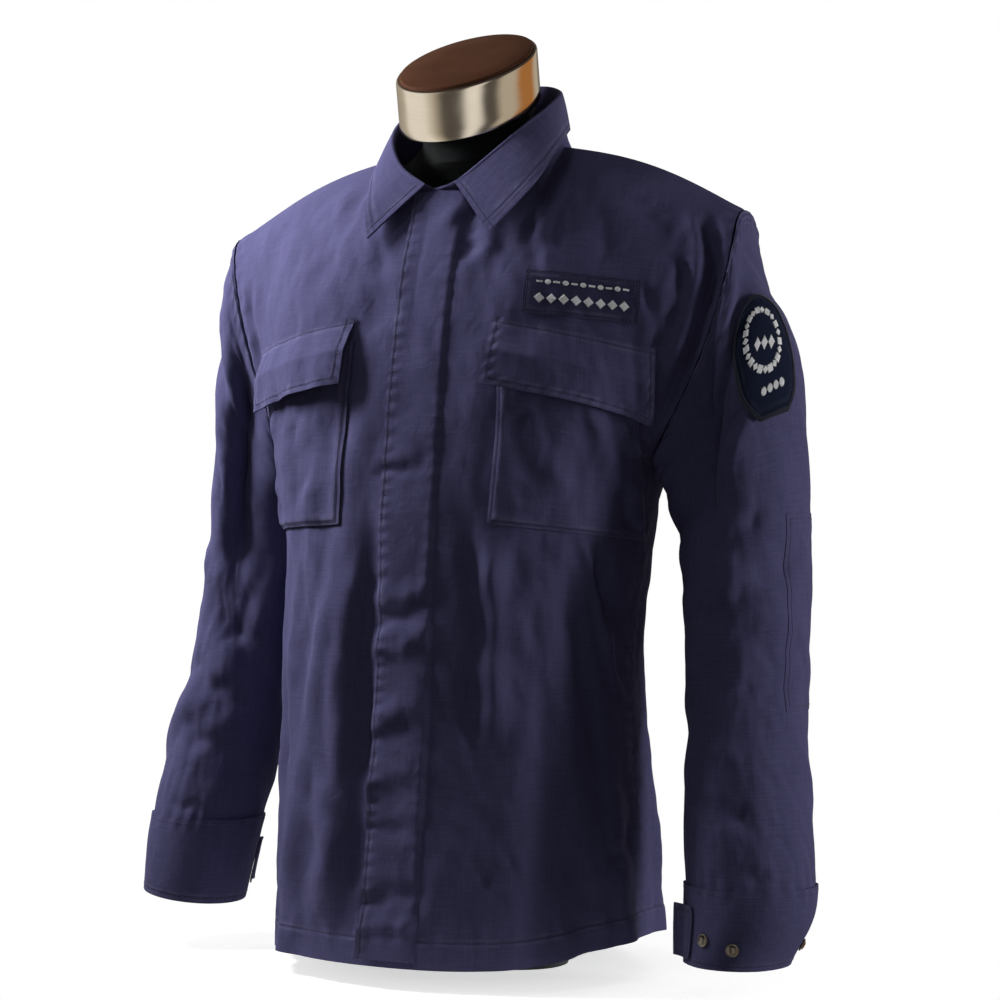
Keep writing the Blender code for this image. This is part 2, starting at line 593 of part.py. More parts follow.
def build_back(name, navy):
    u = np.linspace(0, 1, BACK_GRID[0] // 2 + 1)
    v = np.linspace(0, 1, BACK_GRID[1] + 1)
    left = half_grid(u, v, 1, "back")
    right = half_grid(u, v, -1, "back")
    left_normals = half_normals(u, v, 1, "back")
    right_normals = half_normals(u, v, -1, "back")
    points = np.concatenate([right[::-1], left[1:]])
    normals = np.concatenate([right_normals[::-1], left_normals[1:]])
    points = trimmed(points, (SEAM_GAP / 2, SEAM_GAP / 2, 0, SEAM_GAP / 2))
    return wall(name, points, navy, normals=normals)


def build_sleeve(name, side, navy):
    angle = np.arange(SLEEVE_GRID[0]) * 2 * math.pi / SLEEVE_GRID[0]
    v = np.linspace(0, CUFF_V + CUFF_TUCK, SLEEVE_GRID[1] + 1)
    inset = np.clip((v - CUFF_V + 0.05) / 0.05, 0, 1) * -LAYER
    points = sleeve(angle[:, None], v[None, :], side, inset[None, :])
    return wall(name, points, navy, closed=True)


def build_cuff(name, side, navy):
    angle = np.arange(CUFF_GRID[0]) * 2 * math.pi / CUFF_GRID[0]
    v = np.linspace(CUFF_V - 0.004, 1.0, CUFF_GRID[1] + 1)
    points = sleeve(angle[:, None], v[None, :], side, CUFF_LIFT)
    return wall(name, points, navy, closed=True)


def build_sleeve_sheet(name, side, place, half, lift, cloth, cells, shape=None):
    """Sheet on a sleeve: place is (degrees, v), and half its size is turned into angle and v by local stretch."""
    angle, v = math.radians(place[0]), place[1]
    spot = smooth_sleeve(np.array([angle, angle + STEP, angle]), np.array([v, v, v + STEP]), side)
    per_angle = np.linalg.norm(spot[1] - spot[0]) / STEP
    per_v = np.linalg.norm(spot[2] - spot[0]) / STEP
    across = np.linspace(-1, 1, cells[0] + 1)
    along = np.linspace(-1, 1, cells[1] + 1)
    across, along = np.meshgrid(across, along, indexing="ij")
    wide = across if shape is None else across * shape(along)
    angles = angle + wide * half[0] / per_angle
    places = v + along * half[1] / per_v
    return wall(name, sleeve(angles, places, side, lift(across, along)), cloth)


def sleeve_lift(across, along):
    return LAYER + SLEEVE_ROOM + 0 * across


def patch_lift(across, along):
    return LAYER + TAB_ROOM + 0 * across


def tab_lift(across, along):
    """Cuff tab: its free end, towards the inner side, stands off the cuff."""
    return LAYER + TAB_ROOM + TAB_STAND * np.clip(across, 0, 1) ** 1.5


def shield_width(along):
    """Half width of the shoulder patch down its length: a rounded top, straight sides and a shallow foot."""
    top = np.sqrt(np.clip(1 - (np.clip(-along - 0.25, 0, 1) / 0.77) ** 2, 0.0, 1.0))
    foot = 1 - 0.55 * np.clip((along - 0.55) / 0.45, 0, 1) ** 1.6
    return np.maximum(top, 0.12) * foot


def build_fly(name, navy):
    """Fly strip over the closed fronts: a straight band of constant width, from the hem to the collar."""
    x = np.linspace(FLY_EDGE, FLY_EDGE + FLY_WIDTH, FLY_GRID[0] + 1)
    z = np.linspace(FLY_ENDS[0], FLY_ENDS[1], FLY_GRID[1] + 1)
    x, z = np.meshgrid(x, z, indexing="ij")
    right = on_front(np.abs(x), z, -1, LAYER + FACET_ROOM)
    left = on_front(np.abs(x), z, 1, LAYER + FACET_ROOM)
    points = np.where((x < 0)[..., None], right, left)
    return wall(name, points, navy)


def v_at_height(u, z, side):
    """The v of a front at which column u has this height."""
    v = np.clip((z - 0.02) / 0.74, 0.02, 0.98)
    for _ in range(10):
        height = smooth_panel(u, v, side, "front")[..., 2]
        rise = (smooth_panel(u, v + FINE_STEP, side, "front")[..., 2] - height) / FINE_STEP
        v = np.clip(v + (z - height) / rise, 0.0, 0.999)
    return v


def sheet_place(sheet, across, down):
    """The u and v of a sheet on a front: its corners are found, and u and the height run evenly between them."""
    x = np.array([sheet.in_top_x, sheet.out_top_x, sheet.in_low_x, sheet.out_low_x])
    z = np.array([sheet.in_top_z, sheet.out_top_z, sheet.in_low_z, sheet.out_low_z])
    corner_u, _ = panel_place(x, z, sheet.side)
    weights = ((1 - across) * (1 - down), across * (1 - down), (1 - across) * down, across * down)
    u = sum(weight * corner for weight, corner in zip(weights, corner_u))
    height = sum(weight * corner for weight, corner in zip(weights, z))
    return u, v_at_height(u, height, sheet.side)


def build_sheet(sheet, cells, lift, cloth):
    """Sheet on a front: across and down run from 0 to 1, and lift gives its height over the panel."""
    across = np.linspace(0, 1, cells[0] + 1)
    down = np.linspace(0, 1, cells[1] + 1)
    across, down = np.meshgrid(across, down, indexing="ij")
    u, v = sheet_place(sheet, across, down)
    return wall(sheet.name, panel(u, v, sheet.side, "front", lift(across, down)), cloth)


def pocket_lift(across, down):
    """Bellows pocket: one layer up at its edges, swelling inside them and most near the bottom."""
    rim_across = np.clip(np.minimum(across, 1 - across) / POCKET_RIM_ACROSS, 0, 1)
    rim = rim_across * np.clip((1 - down) / POCKET_RIM_DOWN, 0, 1)
    swell = POCKET_EDGE + POCKET_SWELL * np.sin(down * math.pi) * np.sin(across * math.pi)
    return LAYER + FACET_ROOM + rim * swell


def flap_lift(across, down):
    """Flap: over the pocket, its free edge standing out in shallow waves."""
    wave = FLAP_WAVE * np.sin(across * 8.4 - 1.2) * down**2
    stand = (LAYER + FLAP_STAND) * np.clip((down - 0.08) * 2.4, 0, 1)
    return LAYER + FLAP_ROOM + stand + FLAP_DROP * down**2 + wave


def tape_lift(across, down):
    return LAYER + FACET_ROOM + 0 * across


def collar_point(a, s, side):
    """Collar at a, front end to centre back, and s: 0 at the neckline, 1 at the fold, 2 at the leaf's edge."""
    word = "left" if side > 0 else "right"
    fold = np.stack([spline(a, LEAVES, "a", key) for key in ("fold_" + word, "fold_y", "fold_z")], axis=-1)
    edge = np.stack([spline(a, LEAVES, "a", key) for key in ("edge_" + word, "edge_y", "edge_z")], axis=-1)
    base = collar_base(a)
    stand = np.clip(s, 0.0, 1.0)[..., None]
    leaf = np.clip(s - 1.0, 0.0, 1.0)[..., None]
    up = base + (fold - base) * stand
    roll = COLLAR_ROLL * leaf**0.5 * unit((edge - fold) * np.array([1.0, 1.0, 0.0]))
    rise = np.sin(leaf * math.pi) * LEAF_BULGE * np.clip(a, 0.1, 1.0)[..., None]
    bulge = rise * np.array([0.0, 0.0, 1.0])
    down = fold + (edge - fold) * leaf + roll + bulge
    return np.where((s <= 1.0)[..., None], up, down) * np.array([side, 1.0, 1.0])


def collar_base(a):
    """Lower edge of the stand, just over the neckline."""
    front = top_edge(np.clip(a / COLLAR_SPLIT, 0, 1) * NECK_U, 1, "front")
    back = top_edge(np.clip((1 - a) / (1 - COLLAR_SPLIT), 0, 1) * NECK_U, 1, "back")
    return np.where((a <= COLLAR_SPLIT)[..., None], front, back) + np.array([0.0, 0.0, COLLAR_SEAT])


def build_collar(name, navy):
    """One wall: stand, rolled fold and leaf, from the right front end round the neck to the left."""
    grid_a, grid_s = np.meshgrid(np.linspace(0.0, 1.0, COLLAR_COUNT), COLLAR_STEPS, indexing="ij")
    right = collar_point(grid_a, grid_s, -1)
    left = collar_point(grid_a, grid_s, 1)
    points = np.concatenate([right, left[-2::-1]])
    return wall(name, points, navy)


def form_ring(row, count):
    angle = np.arange(count) * 2 * math.pi / count
    x = row.half_x * np.sign(np.cos(angle)) * np.abs(np.cos(angle)) ** row.power
    y = row.half_y * np.sign(np.sin(angle)) * np.abs(np.sin(angle)) ** row.power
    lean = math.radians(row.lean)
    return np.stack([x, row.mid_y + y * math.cos(lean), row.z + y * math.sin(lean)], axis=-1)


def build_form(name, cloth):
    """Limbless form: rounded sections from a flat base to the shoulders, leaning more and more up the neck."""
    rings = [form_ring(row, FORM_COUNT) for row in FORM_RINGS]
    return solid(name, np.concatenate(rings), ring_faces(len(rings), FORM_COUNT), cloth)


def ring_faces(rings, count):
    """Quads between rings of this many points, and a flat face over the first ring and the last."""
    index = np.arange(rings * count).reshape(rings, count)
    near = index[:-1]
    far = index[1:]
    quads = np.stack([near, np.roll(near, -1, 1), np.roll(far, -1, 1), far], axis=-1).reshape(-1, 4)
    return quads.tolist() + [index[0][::-1].tolist(), index[-1].tolist()]


def leaning(points):
    """Puts a piece that is turned about its own Z onto the neck's leaning axis."""
    c, s = math.cos(CAP_LEAN), math.sin(CAP_LEAN)
    turn = np.array([[1, 0, 0], [0, c, -s], [0, s, c]])
    return points @ turn.T + np.array(CAP_BASE)


def build_turned(name, profile, count, place, finish):
    """Solid turned about its own Z from a profile of (radius, height), closed by a flat disc at each end."""
    angle = np.arange(count) * 2 * math.pi / count
    circle = np.stack([np.cos(angle), np.sin(angle), 0 * angle], axis=-1)
    rings = [circle * radius + np.array([0.0, 0.0, height]) for radius, height in profile]
    return solid(name, place(np.concatenate(rings)), ring_faces(len(rings), count), finish, TURNED_SHARP)


def build_button(name, side, degrees, v, finish):
    """Small turned button on a cuff, its axis along the sleeve's normal there."""
    angle = math.radians(degrees)
    near = 0.01
    spot = sleeve(np.array([angle, angle + near, angle]), np.array([v, v, v + near]), side, CUFF_LIFT)
    normal = unit(np.cross(spot[1] - spot[0], spot[2] - spot[0])) * side
    seat = spot[0] + normal * (CLOTH / 2 + SEAM_GAP)
    across = unit(spot[2] - spot[0])
    third = np.cross(normal, across)
    profile = (
        (BUTTON_RADIUS * 0.7, 0.0),
        (BUTTON_RADIUS, BUTTON_HEIGHT * 0.35),
        (BUTTON_RADIUS, BUTTON_HEIGHT * 0.75),
        (BUTTON_RADIUS * 0.8, BUTTON_HEIGHT),
    )

    def place(points):
        return seat + points @ np.stack([across, third, normal])

    return build_turned(name, profile, BUTTON_COUNT, place, finish)


def clear_scene():
    for obj in list(bpy.data.objects):
        bpy.data.objects.remove(obj, do_unlink=True)


def main():
    clear_scene()
    navy = material("navy_cotton", NAVY, 0.85)
    tape = material("tape_twill", TAPE_NAVY, 0.85)
    patch = material("patch_twill", PATCH_NAVY, 0.80)
    jersey = material("black_jersey", JERSEY_BLACK, 0.95)
    metal = material("satin_metal", CAP_METAL, 0.32, 1.0)
    brown = material("brown_disc", CAP_BROWN, 0.45)
    dark = material("dark_metal", BUTTON_METAL, 0.45, 1.0)
    build_front("front_right", -1, navy)
    build_front("front_left", 1, navy)
    build_back("back", navy)
    for side, word in ((-1, "right"), (1, "left")):
        build_sleeve("sleeve_" + word, side, navy)
        build_cuff("cuff_" + word, side, navy)
        build_sleeve_sheet("elbow_" + word, side, ELBOW_PLACE, ELBOW_HALF, sleeve_lift, navy, ELBOW_GRID)
        build_sleeve_sheet("cuff_tab_" + word, side, CUFF_TAB[side], CUFF_TAB_HALF, tab_lift, navy, TAB_GRID)
        for number, (degrees, v) in enumerate(BUTTON_PLACES[side], 1):
            build_button(f"cuff_button_{word}_{number}", side, degrees, v, dark)
    build_fly("fly_strip", navy)
    for pocket in POCKETS:
        build_sheet(pocket, POCKET_GRID, pocket_lift, navy)
    for flap in FLAPS:
        build_sheet(flap, FLAP_GRID, flap_lift, navy)
    build_sheet(TAPE, TAPE_GRID, tape_lift, tape)
    patch_place = ("shoulder_patch", 1, PATCH_PLACE, PATCH_HALF, patch_lift, patch, PATCH_GRID)
    build_sleeve_sheet(*patch_place, shield_width)
    build_collar("collar", navy)
    build_form("dress_form", jersey)
    build_cap("neck_cap", "cap_disc", metal, brown)


def build_cap(name, disc_name, metal, brown):
    """Neck cap with a bevelled top edge, and the thinner disc that lies on it."""
    sides = ((CAP_RADIUS, 0), (CAP_RADIUS, CAP_HEIGHT - CAP_RIM), (CAP_RADIUS - CAP_RIM, CAP_HEIGHT))
    build_turned(name, sides, CAP_COUNT, leaning, metal)
    low = CAP_HEIGHT + SEAM_GAP
    rim = CAP_RADIUS - 2 * CAP_RIM
    disc = ((rim, low), (rim, low + CAP_TOP_DISC / 2), (rim - CAP_RIM, low + CAP_TOP_DISC))
    build_turned(disc_name, disc, CAP_COUNT, leaning, brown)


main()
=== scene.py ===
import functools
import math

import bpy
import numpy as np
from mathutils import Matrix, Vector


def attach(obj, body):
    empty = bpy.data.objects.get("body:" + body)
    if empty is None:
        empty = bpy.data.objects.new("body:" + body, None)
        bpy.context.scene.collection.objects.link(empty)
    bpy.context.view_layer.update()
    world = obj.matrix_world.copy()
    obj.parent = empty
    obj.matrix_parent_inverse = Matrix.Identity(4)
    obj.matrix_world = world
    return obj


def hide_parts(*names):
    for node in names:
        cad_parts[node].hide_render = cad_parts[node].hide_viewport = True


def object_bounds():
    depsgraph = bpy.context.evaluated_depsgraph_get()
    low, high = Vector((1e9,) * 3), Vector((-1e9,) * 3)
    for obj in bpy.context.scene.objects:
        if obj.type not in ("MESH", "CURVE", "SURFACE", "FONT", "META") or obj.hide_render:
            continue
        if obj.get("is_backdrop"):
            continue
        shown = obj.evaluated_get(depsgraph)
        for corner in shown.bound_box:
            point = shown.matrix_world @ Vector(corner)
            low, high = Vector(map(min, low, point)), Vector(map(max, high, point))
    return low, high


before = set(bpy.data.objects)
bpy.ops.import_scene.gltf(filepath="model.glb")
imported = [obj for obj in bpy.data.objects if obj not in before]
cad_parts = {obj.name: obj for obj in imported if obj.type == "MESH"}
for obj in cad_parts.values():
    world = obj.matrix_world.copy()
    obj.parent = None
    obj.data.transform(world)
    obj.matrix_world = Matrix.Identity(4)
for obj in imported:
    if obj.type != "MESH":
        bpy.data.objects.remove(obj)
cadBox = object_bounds()
print("frame loaded:", len(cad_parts), "solids")


def table(names, rows):
    # one array for each named column
    return {name: np.array(column) for name, column in zip(names.split(), zip(*rows))}


def spread(first, second):
    # two arrays of one common shape
    return np.broadcast_arrays(np.asarray(first, float), np.asarray(second, float))


def mirror(side):
    # the wearer's right side (-1) is the left one (1) with x turned round
    return np.array([side, 1.0, 1.0])


cloth = {
    "thick": 0.0016,
    "gap": 0.0003,  # between two edges that are sewn together
    "layer": 0.0019,  # from the middle of one layer to the middle of the next
    "bodyWide": 0.29,  # flat width of half a panel, centre line to side seam
    "bodyLong": 0.76,
    "sleeveRound": 0.42,
    "sleeveLong": 0.66,
}

body = {
    "armV": 0.62,
    "sideRound": 0.86,
    "neckU": 0.36,
    "neckFront": (0.0, -0.0745, 0.749),
    "neckSide": (0.094, 0.015, 0.793),
    "neckBack": (0.0, 0.070, 0.822),
    "shoulderTip": (0.280, 0.020, 0.722),
    "shoulderBow": 0.012,
    "armpit": (0.197, 0.002, 0.487),
    "armholeFront": 0.052,
    "armholeBack": 0.078,
    "armholeBow": {1: (0.032, 0.004), -1: (-0.004, 0.004)},
    "edgeStartPull": {"front": (0.30, 0.02, 0.06), "back": (0.30, -0.02, -0.01)},
    "edgeEndPull": (0.28, 0.0, -0.16),
    "frontGrid": (104, 270),
    "backGrid": (84, 200),
    "hemTurn": 0.025,
    "hemStep": 0.0010,
    "calm": 0.05,  # share of a panel over which its creases die away at a seam
    "low": 0.02,  # the hem's rough height, and from there the shoulder's
    "high": 0.74,
}

# level sections from the hem (0) to the armpit (1)
levels = table(
    "t frontZ frontY backZ backY rightX rightZ leftX leftZ sideY",
    (
        (0.00, 0.020, -0.184, 0.020, 0.146, 0.186, 0.019, 0.186, 0.036, 0.000),
        (0.20, 0.114, -0.172, 0.108, 0.140, 0.188, 0.108, 0.182, 0.124, 0.000),
        (0.40, 0.207, -0.160, 0.202, 0.126, 0.187, 0.201, 0.174, 0.211, 0.002),
        (0.60, 0.302, -0.152, 0.298, 0.112, 0.189, 0.296, 0.171, 0.302, 0.004),
        (0.80, 0.402, -0.147, 0.398, 0.116, 0.186, 0.391, 0.181, 0.394, 0.004),
        (1.00, 0.502, -0.135, 0.494, 0.122, 0.197, 0.487, 0.197, 0.487, 0.002),
    ),
)

# how the cloth leaves the neckline and the shoulder seam
lifts = table(
    "u frontY frontZ backY backZ",
    (
        (0.00, 0.090, 0.240, -0.130, 0.300),
        (0.18, 0.150, 0.240, -0.170, 0.280),
        (0.36, 0.230, 0.230, -0.230, 0.250),
        (0.70, 0.230, 0.200, -0.220, 0.220),
        (1.00, 0.180, 0.200, -0.180, 0.200),
    ),
)

# the large folds: face, side, u at the hem, u at the top, lowest v, highest v, width, depth
largeFolds = (
    ("front", -1, 0.42, 0.30, -0.10, 0.52, 0.075, 0.0085),
    ("front", -1, 0.64, 0.60, -0.10, 0.50, 0.070, -0.0080),
    ("front", -1, 0.84, 0.78, -0.10, 0.46, 0.070, 0.0070),
    ("front", 1, 0.40, 0.44, -0.10, 0.40, 0.085, 0.0060),
    ("front", 1, 0.74, 0.60, -0.10, 0.56, 0.070, -0.0085),
    ("front", 1, 0.92, 0.80, -0.10, 0.48, 0.060, 0.0070),
    ("back", -1, 0.22, 0.16, -0.10, 0.55, 0.080, 0.0080),
    ("back", -1, 0.52, 0.50, -0.10, 0.50, 0.075, -0.0085),
    ("back", -1, 0.80, 0.76, -0.10, 0.46, 0.070, 0.0070),
    ("back", 1, 0.26, 0.18, -0.10, 0.52, 0.080, 0.0075),
    ("back", 1, 0.56, 0.48, -0.10, 0.54, 0.075, -0.0085),
    ("back", 1, 0.84, 0.76, -0.10, 0.44, 0.070, 0.0065),
)

# creases of the front in flat metres, x towards the wearer's left and z up from the hem:
# start, end, bow to the left of its way, width, depth (a trough is negative)
frontCreases = (
    (-0.034, 0.500, -0.092, 0.190, 0.000, 0.018, 0.0046),
    (-0.062, 0.402, -0.118, 0.130, -0.014, 0.017, -0.0034),
    (-0.020, 0.420, -0.026, 0.020, 0.000, 0.011, -0.0070),
    (-0.050, 0.310, -0.052, 0.050, 0.002, 0.014, 0.0042),
    (-0.140, 0.300, -0.112, 0.050, 0.004, 0.020, 0.0032),
    (-0.190, 0.330, -0.160, 0.120, 0.006, 0.018, -0.0032),
    (-0.124, 0.398, -0.128, 0.270, 0.005, 0.014, -0.0027),
    (-0.190, 0.712, -0.100, 0.640, 0.008, 0.019, -0.0027),
    (-0.150, 0.728, -0.070, 0.690, -0.004, 0.014, 0.0017),
    (-0.040, 0.690, -0.036, 0.570, 0.003, 0.014, -0.0020),
    (-0.262, 0.660, -0.250, 0.560, -0.006, 0.012, -0.0051),
    (-0.270, 0.560, -0.210, 0.470, 0.006, 0.014, -0.0044),
    (-0.066, 0.180, -0.056, 0.040, 0.003, 0.016, 0.0037),
    (0.066, 0.396, 0.079, 0.190, 0.004, 0.012, -0.0054),
    (0.094, 0.384, 0.108, 0.215, -0.004, 0.014, 0.0048),
    (0.187, 0.392, 0.272, 0.235, 0.006, 0.006, 0.0044),
    (0.206, 0.390, 0.244, 0.318, 0.004, 0.012, -0.0071),
    (0.172, 0.366, 0.232, 0.170, 0.010, 0.018, -0.0071),
    (0.122, 0.345, 0.140, 0.180, 0.000, 0.016, 0.0034),
    (0.154, 0.260, 0.162, 0.085, 0.003, 0.016, -0.0037),
    (0.196, 0.210, 0.206, 0.060, -0.004, 0.016, 0.0041),
    (0.266, 0.712, 0.280, 0.550, 0.008, 0.012, -0.0150),
    (0.250, 0.712, 0.265, 0.560, 0.008, 0.009, 0.0060),
    (0.246, 0.662, 0.254, 0.596, 0.003, 0.009, -0.0054),
    (0.214, 0.628, 0.264, 0.578, 0.000, 0.007, -0.0034),
    (0.127, 0.704, 0.136, 0.636, 0.000, 0.008, -0.0024),
    (0.102, 0.696, 0.113, 0.636, 0.000, 0.008, -0.0019),
    (0.033, 0.728, 0.043, 0.664, 0.000, 0.009, -0.0037),
    (0.056, 0.722, 0.060, 0.650, 0.000, 0.009, 0.0020),
    (0.164, 0.704, 0.186, 0.644, 0.000, 0.011, -0.0024),
    (0.196, 0.714, 0.256, 0.676, 0.000, 0.014, -0.0031),
    (-0.022, 0.304, 0.030, 0.330, 0.002, 0.007, -0.0022),
    (-0.022, 0.333, 0.030, 0.344, 0.000, 0.008, 0.0017),
    (-0.022, 0.284, 0.036, 0.308, 0.000, 0.008, 0.0019),
    (-0.022, 0.202, 0.024, 0.220, 0.002, 0.010, -0.0015),
    (-0.022, 0.222, 0.028, 0.240, 0.000, 0.010, 0.0015),
    (-0.022, 0.162, 0.020, 0.184, 0.000, 0.009, 0.0017),
    (-0.022, 0.050, 0.038, 0.071, 0.002, 0.009, -0.0027),
    (-0.022, 0.026, 0.036, 0.046, 0.000, 0.007, 0.0019),
    (-0.022, 0.442, 0.018, 0.456, 0.000, 0.006, -0.0016),
    (-0.020, 0.120, 0.040, 0.132, 0.000, 0.008, -0.0012),
    (0.236, 0.080, 0.284, 0.106, 0.000, 0.014, -0.0041),
    (0.086, 0.080, 0.130, 0.092, 0.002, 0.011, -0.0024),
    (0.230, 0.512, 0.282, 0.538, 0.002, 0.011, -0.0044),
    (0.226, 0.488, 0.280, 0.500, 0.002, 0.012, 0.0037),
)

backCreases = (
    (0.268, 0.640, 0.130, 0.430, 0.016, 0.012, -0.0042),
    (0.276, 0.590, 0.170, 0.380, 0.012, 0.010, 0.0030),
    (-0.262, 0.650, -0.120, 0.440, -0.014, 0.012, -0.0040),
    (-0.272, 0.570, -0.150, 0.360, -0.012, 0.010, 0.0032),
    (0.240, 0.460, 0.110, 0.350, 0.008, 0.010, -0.0032),
    (-0.236, 0.470, -0.090, 0.330, -0.010, 0.011, -0.0034),
    (0.060, 0.420, 0.080, 0.110, 0.006, 0.012, -0.0034),
    (-0.050, 0.430, -0.066, 0.090, -0.004, 0.012, 0.0034),
    (-0.110, 0.330, -0.128, 0.050, 0.006, 0.012, -0.0034),
    (0.150, 0.340, 0.158, 0.060, -0.006, 0.013, 0.0032),
    (0.205, 0.330, 0.214, 0.080, 0.004, 0.011, -0.0028),
    (-0.200, 0.340, -0.214, 0.060, 0.004, 0.012, 0.0026),
    (0.010, 0.330, 0.150, 0.364, 0.004, 0.009, -0.0020),
    (-0.020, 0.300, -0.170, 0.338, -0.004, 0.009, -0.0022),
    (0.045, 0.724, 0.070, 0.610, 0.002, 0.008, -0.0016),
    (-0.040, 0.724, -0.056, 0.600, 0.000, 0.008, -0.0018),
    (0.000, 0.700, 0.006, 0.560, 0.004, 0.010, 0.0014),
    (0.130, 0.712, 0.110, 0.600, 0.004, 0.009, 0.0014),
    (-0.140, 0.712, -0.110, 0.610, 0.004, 0.010, -0.0014),
    (0.020, 0.110, 0.090, 0.140, 0.000, 0.009, -0.0018),
)

sleeve = {
    "bowFade": 0.40,
    "startGap": 0.0020,
    "cuffV": 0.87,
    "cuffTuck": 0.006,
    "cuffLift": 0.0006,
    "grid": (150, 230),
    "cuffGrid": (150, 40),
    "roll": (0.0013, 0.007, 0.004),  # the ridge beside the armhole seam: height, place, width
    "radius": 0.065,
    "calmV": 0.865,
    "gather": 0.0007,
    # count, sway, place, reach
    "gathers": {"armhole": (34, 5, 0.012, 0.010), "cuff": (22, 3, 0.862, 0.012)},
    "cuffOver": 0.004,
}

# rings of each sleeve: innermost and outermost points, the middle's y, depth to front and back
ringNames = "v inX inZ outX outZ midY frontD backD"
sleeveRings = {
    1: table(
        ringNames,
        (
            (0.00, 0.1970, 0.487, 0.2800, 0.7220, 0.010, 0.052, 0.078),
            (0.06, 0.2010, 0.487, 0.2910, 0.6870, 0.010, 0.056, 0.076),
            (0.12, 0.2060, 0.485, 0.3000, 0.6560, 0.011, 0.060, 0.075),
            (0.20, 0.2120, 0.479, 0.3210, 0.6200, 0.013, 0.065, 0.074),
            (0.28, 0.2170, 0.466, 0.3340, 0.5700, 0.017, 0.069, 0.073),
            (0.36, 0.2215, 0.446, 0.3370, 0.5000, 0.020, 0.070, 0.072),
            (0.46, 0.2250, 0.390, 0.3400, 0.4100, 0.020, 0.070, 0.070),
            (0.58, 0.2320, 0.310, 0.3420, 0.3180, 0.010, 0.068, 0.066),
            (0.70, 0.2400, 0.225, 0.3490, 0.2280, -0.008, 0.065, 0.062),
            (0.82, 0.2490, 0.135, 0.3640, 0.1360, -0.030, 0.062, 0.058),
            (0.88, 0.2520, 0.090, 0.3720, 0.0900, -0.040, 0.060, 0.056),
            (1.00, 0.2560, 0.031, 0.3500, 0.0290, -0.050, 0.055, 0.053),
        ),
    ),
    -1: table(
        ringNames,
        (
            (0.00, 0.1970, 0.487, 0.2800, 0.7220, 0.010, 0.052, 0.078),
            (0.06, 0.2000, 0.487, 0.2860, 0.6880, 0.010, 0.056, 0.077),
            (0.12, 0.2030, 0.485, 0.2890, 0.6560, 0.011, 0.060, 0.076),
            (0.20, 0.2060, 0.478, 0.2920, 0.6100, 0.013, 0.064, 0.074),
            (0.28, 0.2080, 0.464, 0.2945, 0.5550, 0.016, 0.068, 0.073),
            (0.36, 0.2100, 0.444, 0.2975, 0.4900, 0.019, 0.070, 0.072),
            (0.46, 0.2115, 0.390, 0.3060, 0.4050, 0.022, 0.070, 0.070),
            (0.58, 0.2130, 0.315, 0.3190, 0.3200, 0.016, 0.068, 0.066),
            (0.70, 0.2180, 0.240, 0.3280, 0.2420, -0.004, 0.065, 0.062),
            (0.82, 0.2270, 0.160, 0.3380, 0.1640, -0.028, 0.062, 0.058),
            (0.88, 0.2330, 0.118, 0.3430, 0.1230, -0.038, 0.060, 0.056),
            (1.00, 0.2450, 0.044, 0.3420, 0.0580, -0.052, 0.056, 0.054),
        ),
    ),
}

# large sleeve folds: side, degrees round (0 outermost, 90 front), v, slope, width, depth
sleeveFolds = (
    (1, 80, 0.22, 0.0022, 0.045, -0.0060),
    (1, 150, 0.40, 0.0016, 0.035, -0.0050),
    (1, 60, 0.52, -0.0012, 0.040, 0.0045),
    (1, 120, 0.64, 0.0014, 0.035, -0.0050),
    (1, 250, 0.60, -0.0014, 0.040, -0.0050),
    (-1, 70, 0.24, 0.0018, 0.045, -0.0060),
    (-1, 100, 0.46, 0.0014, 0.035, 0.0040),
    (-1, 120, 0.60, 0.0018, 0.035, -0.0060),
    (-1, 60, 0.70, -0.0014, 0.040, 0.0050),
    (-1, 250, 0.62, -0.0014, 0.040, -0.0050),
)

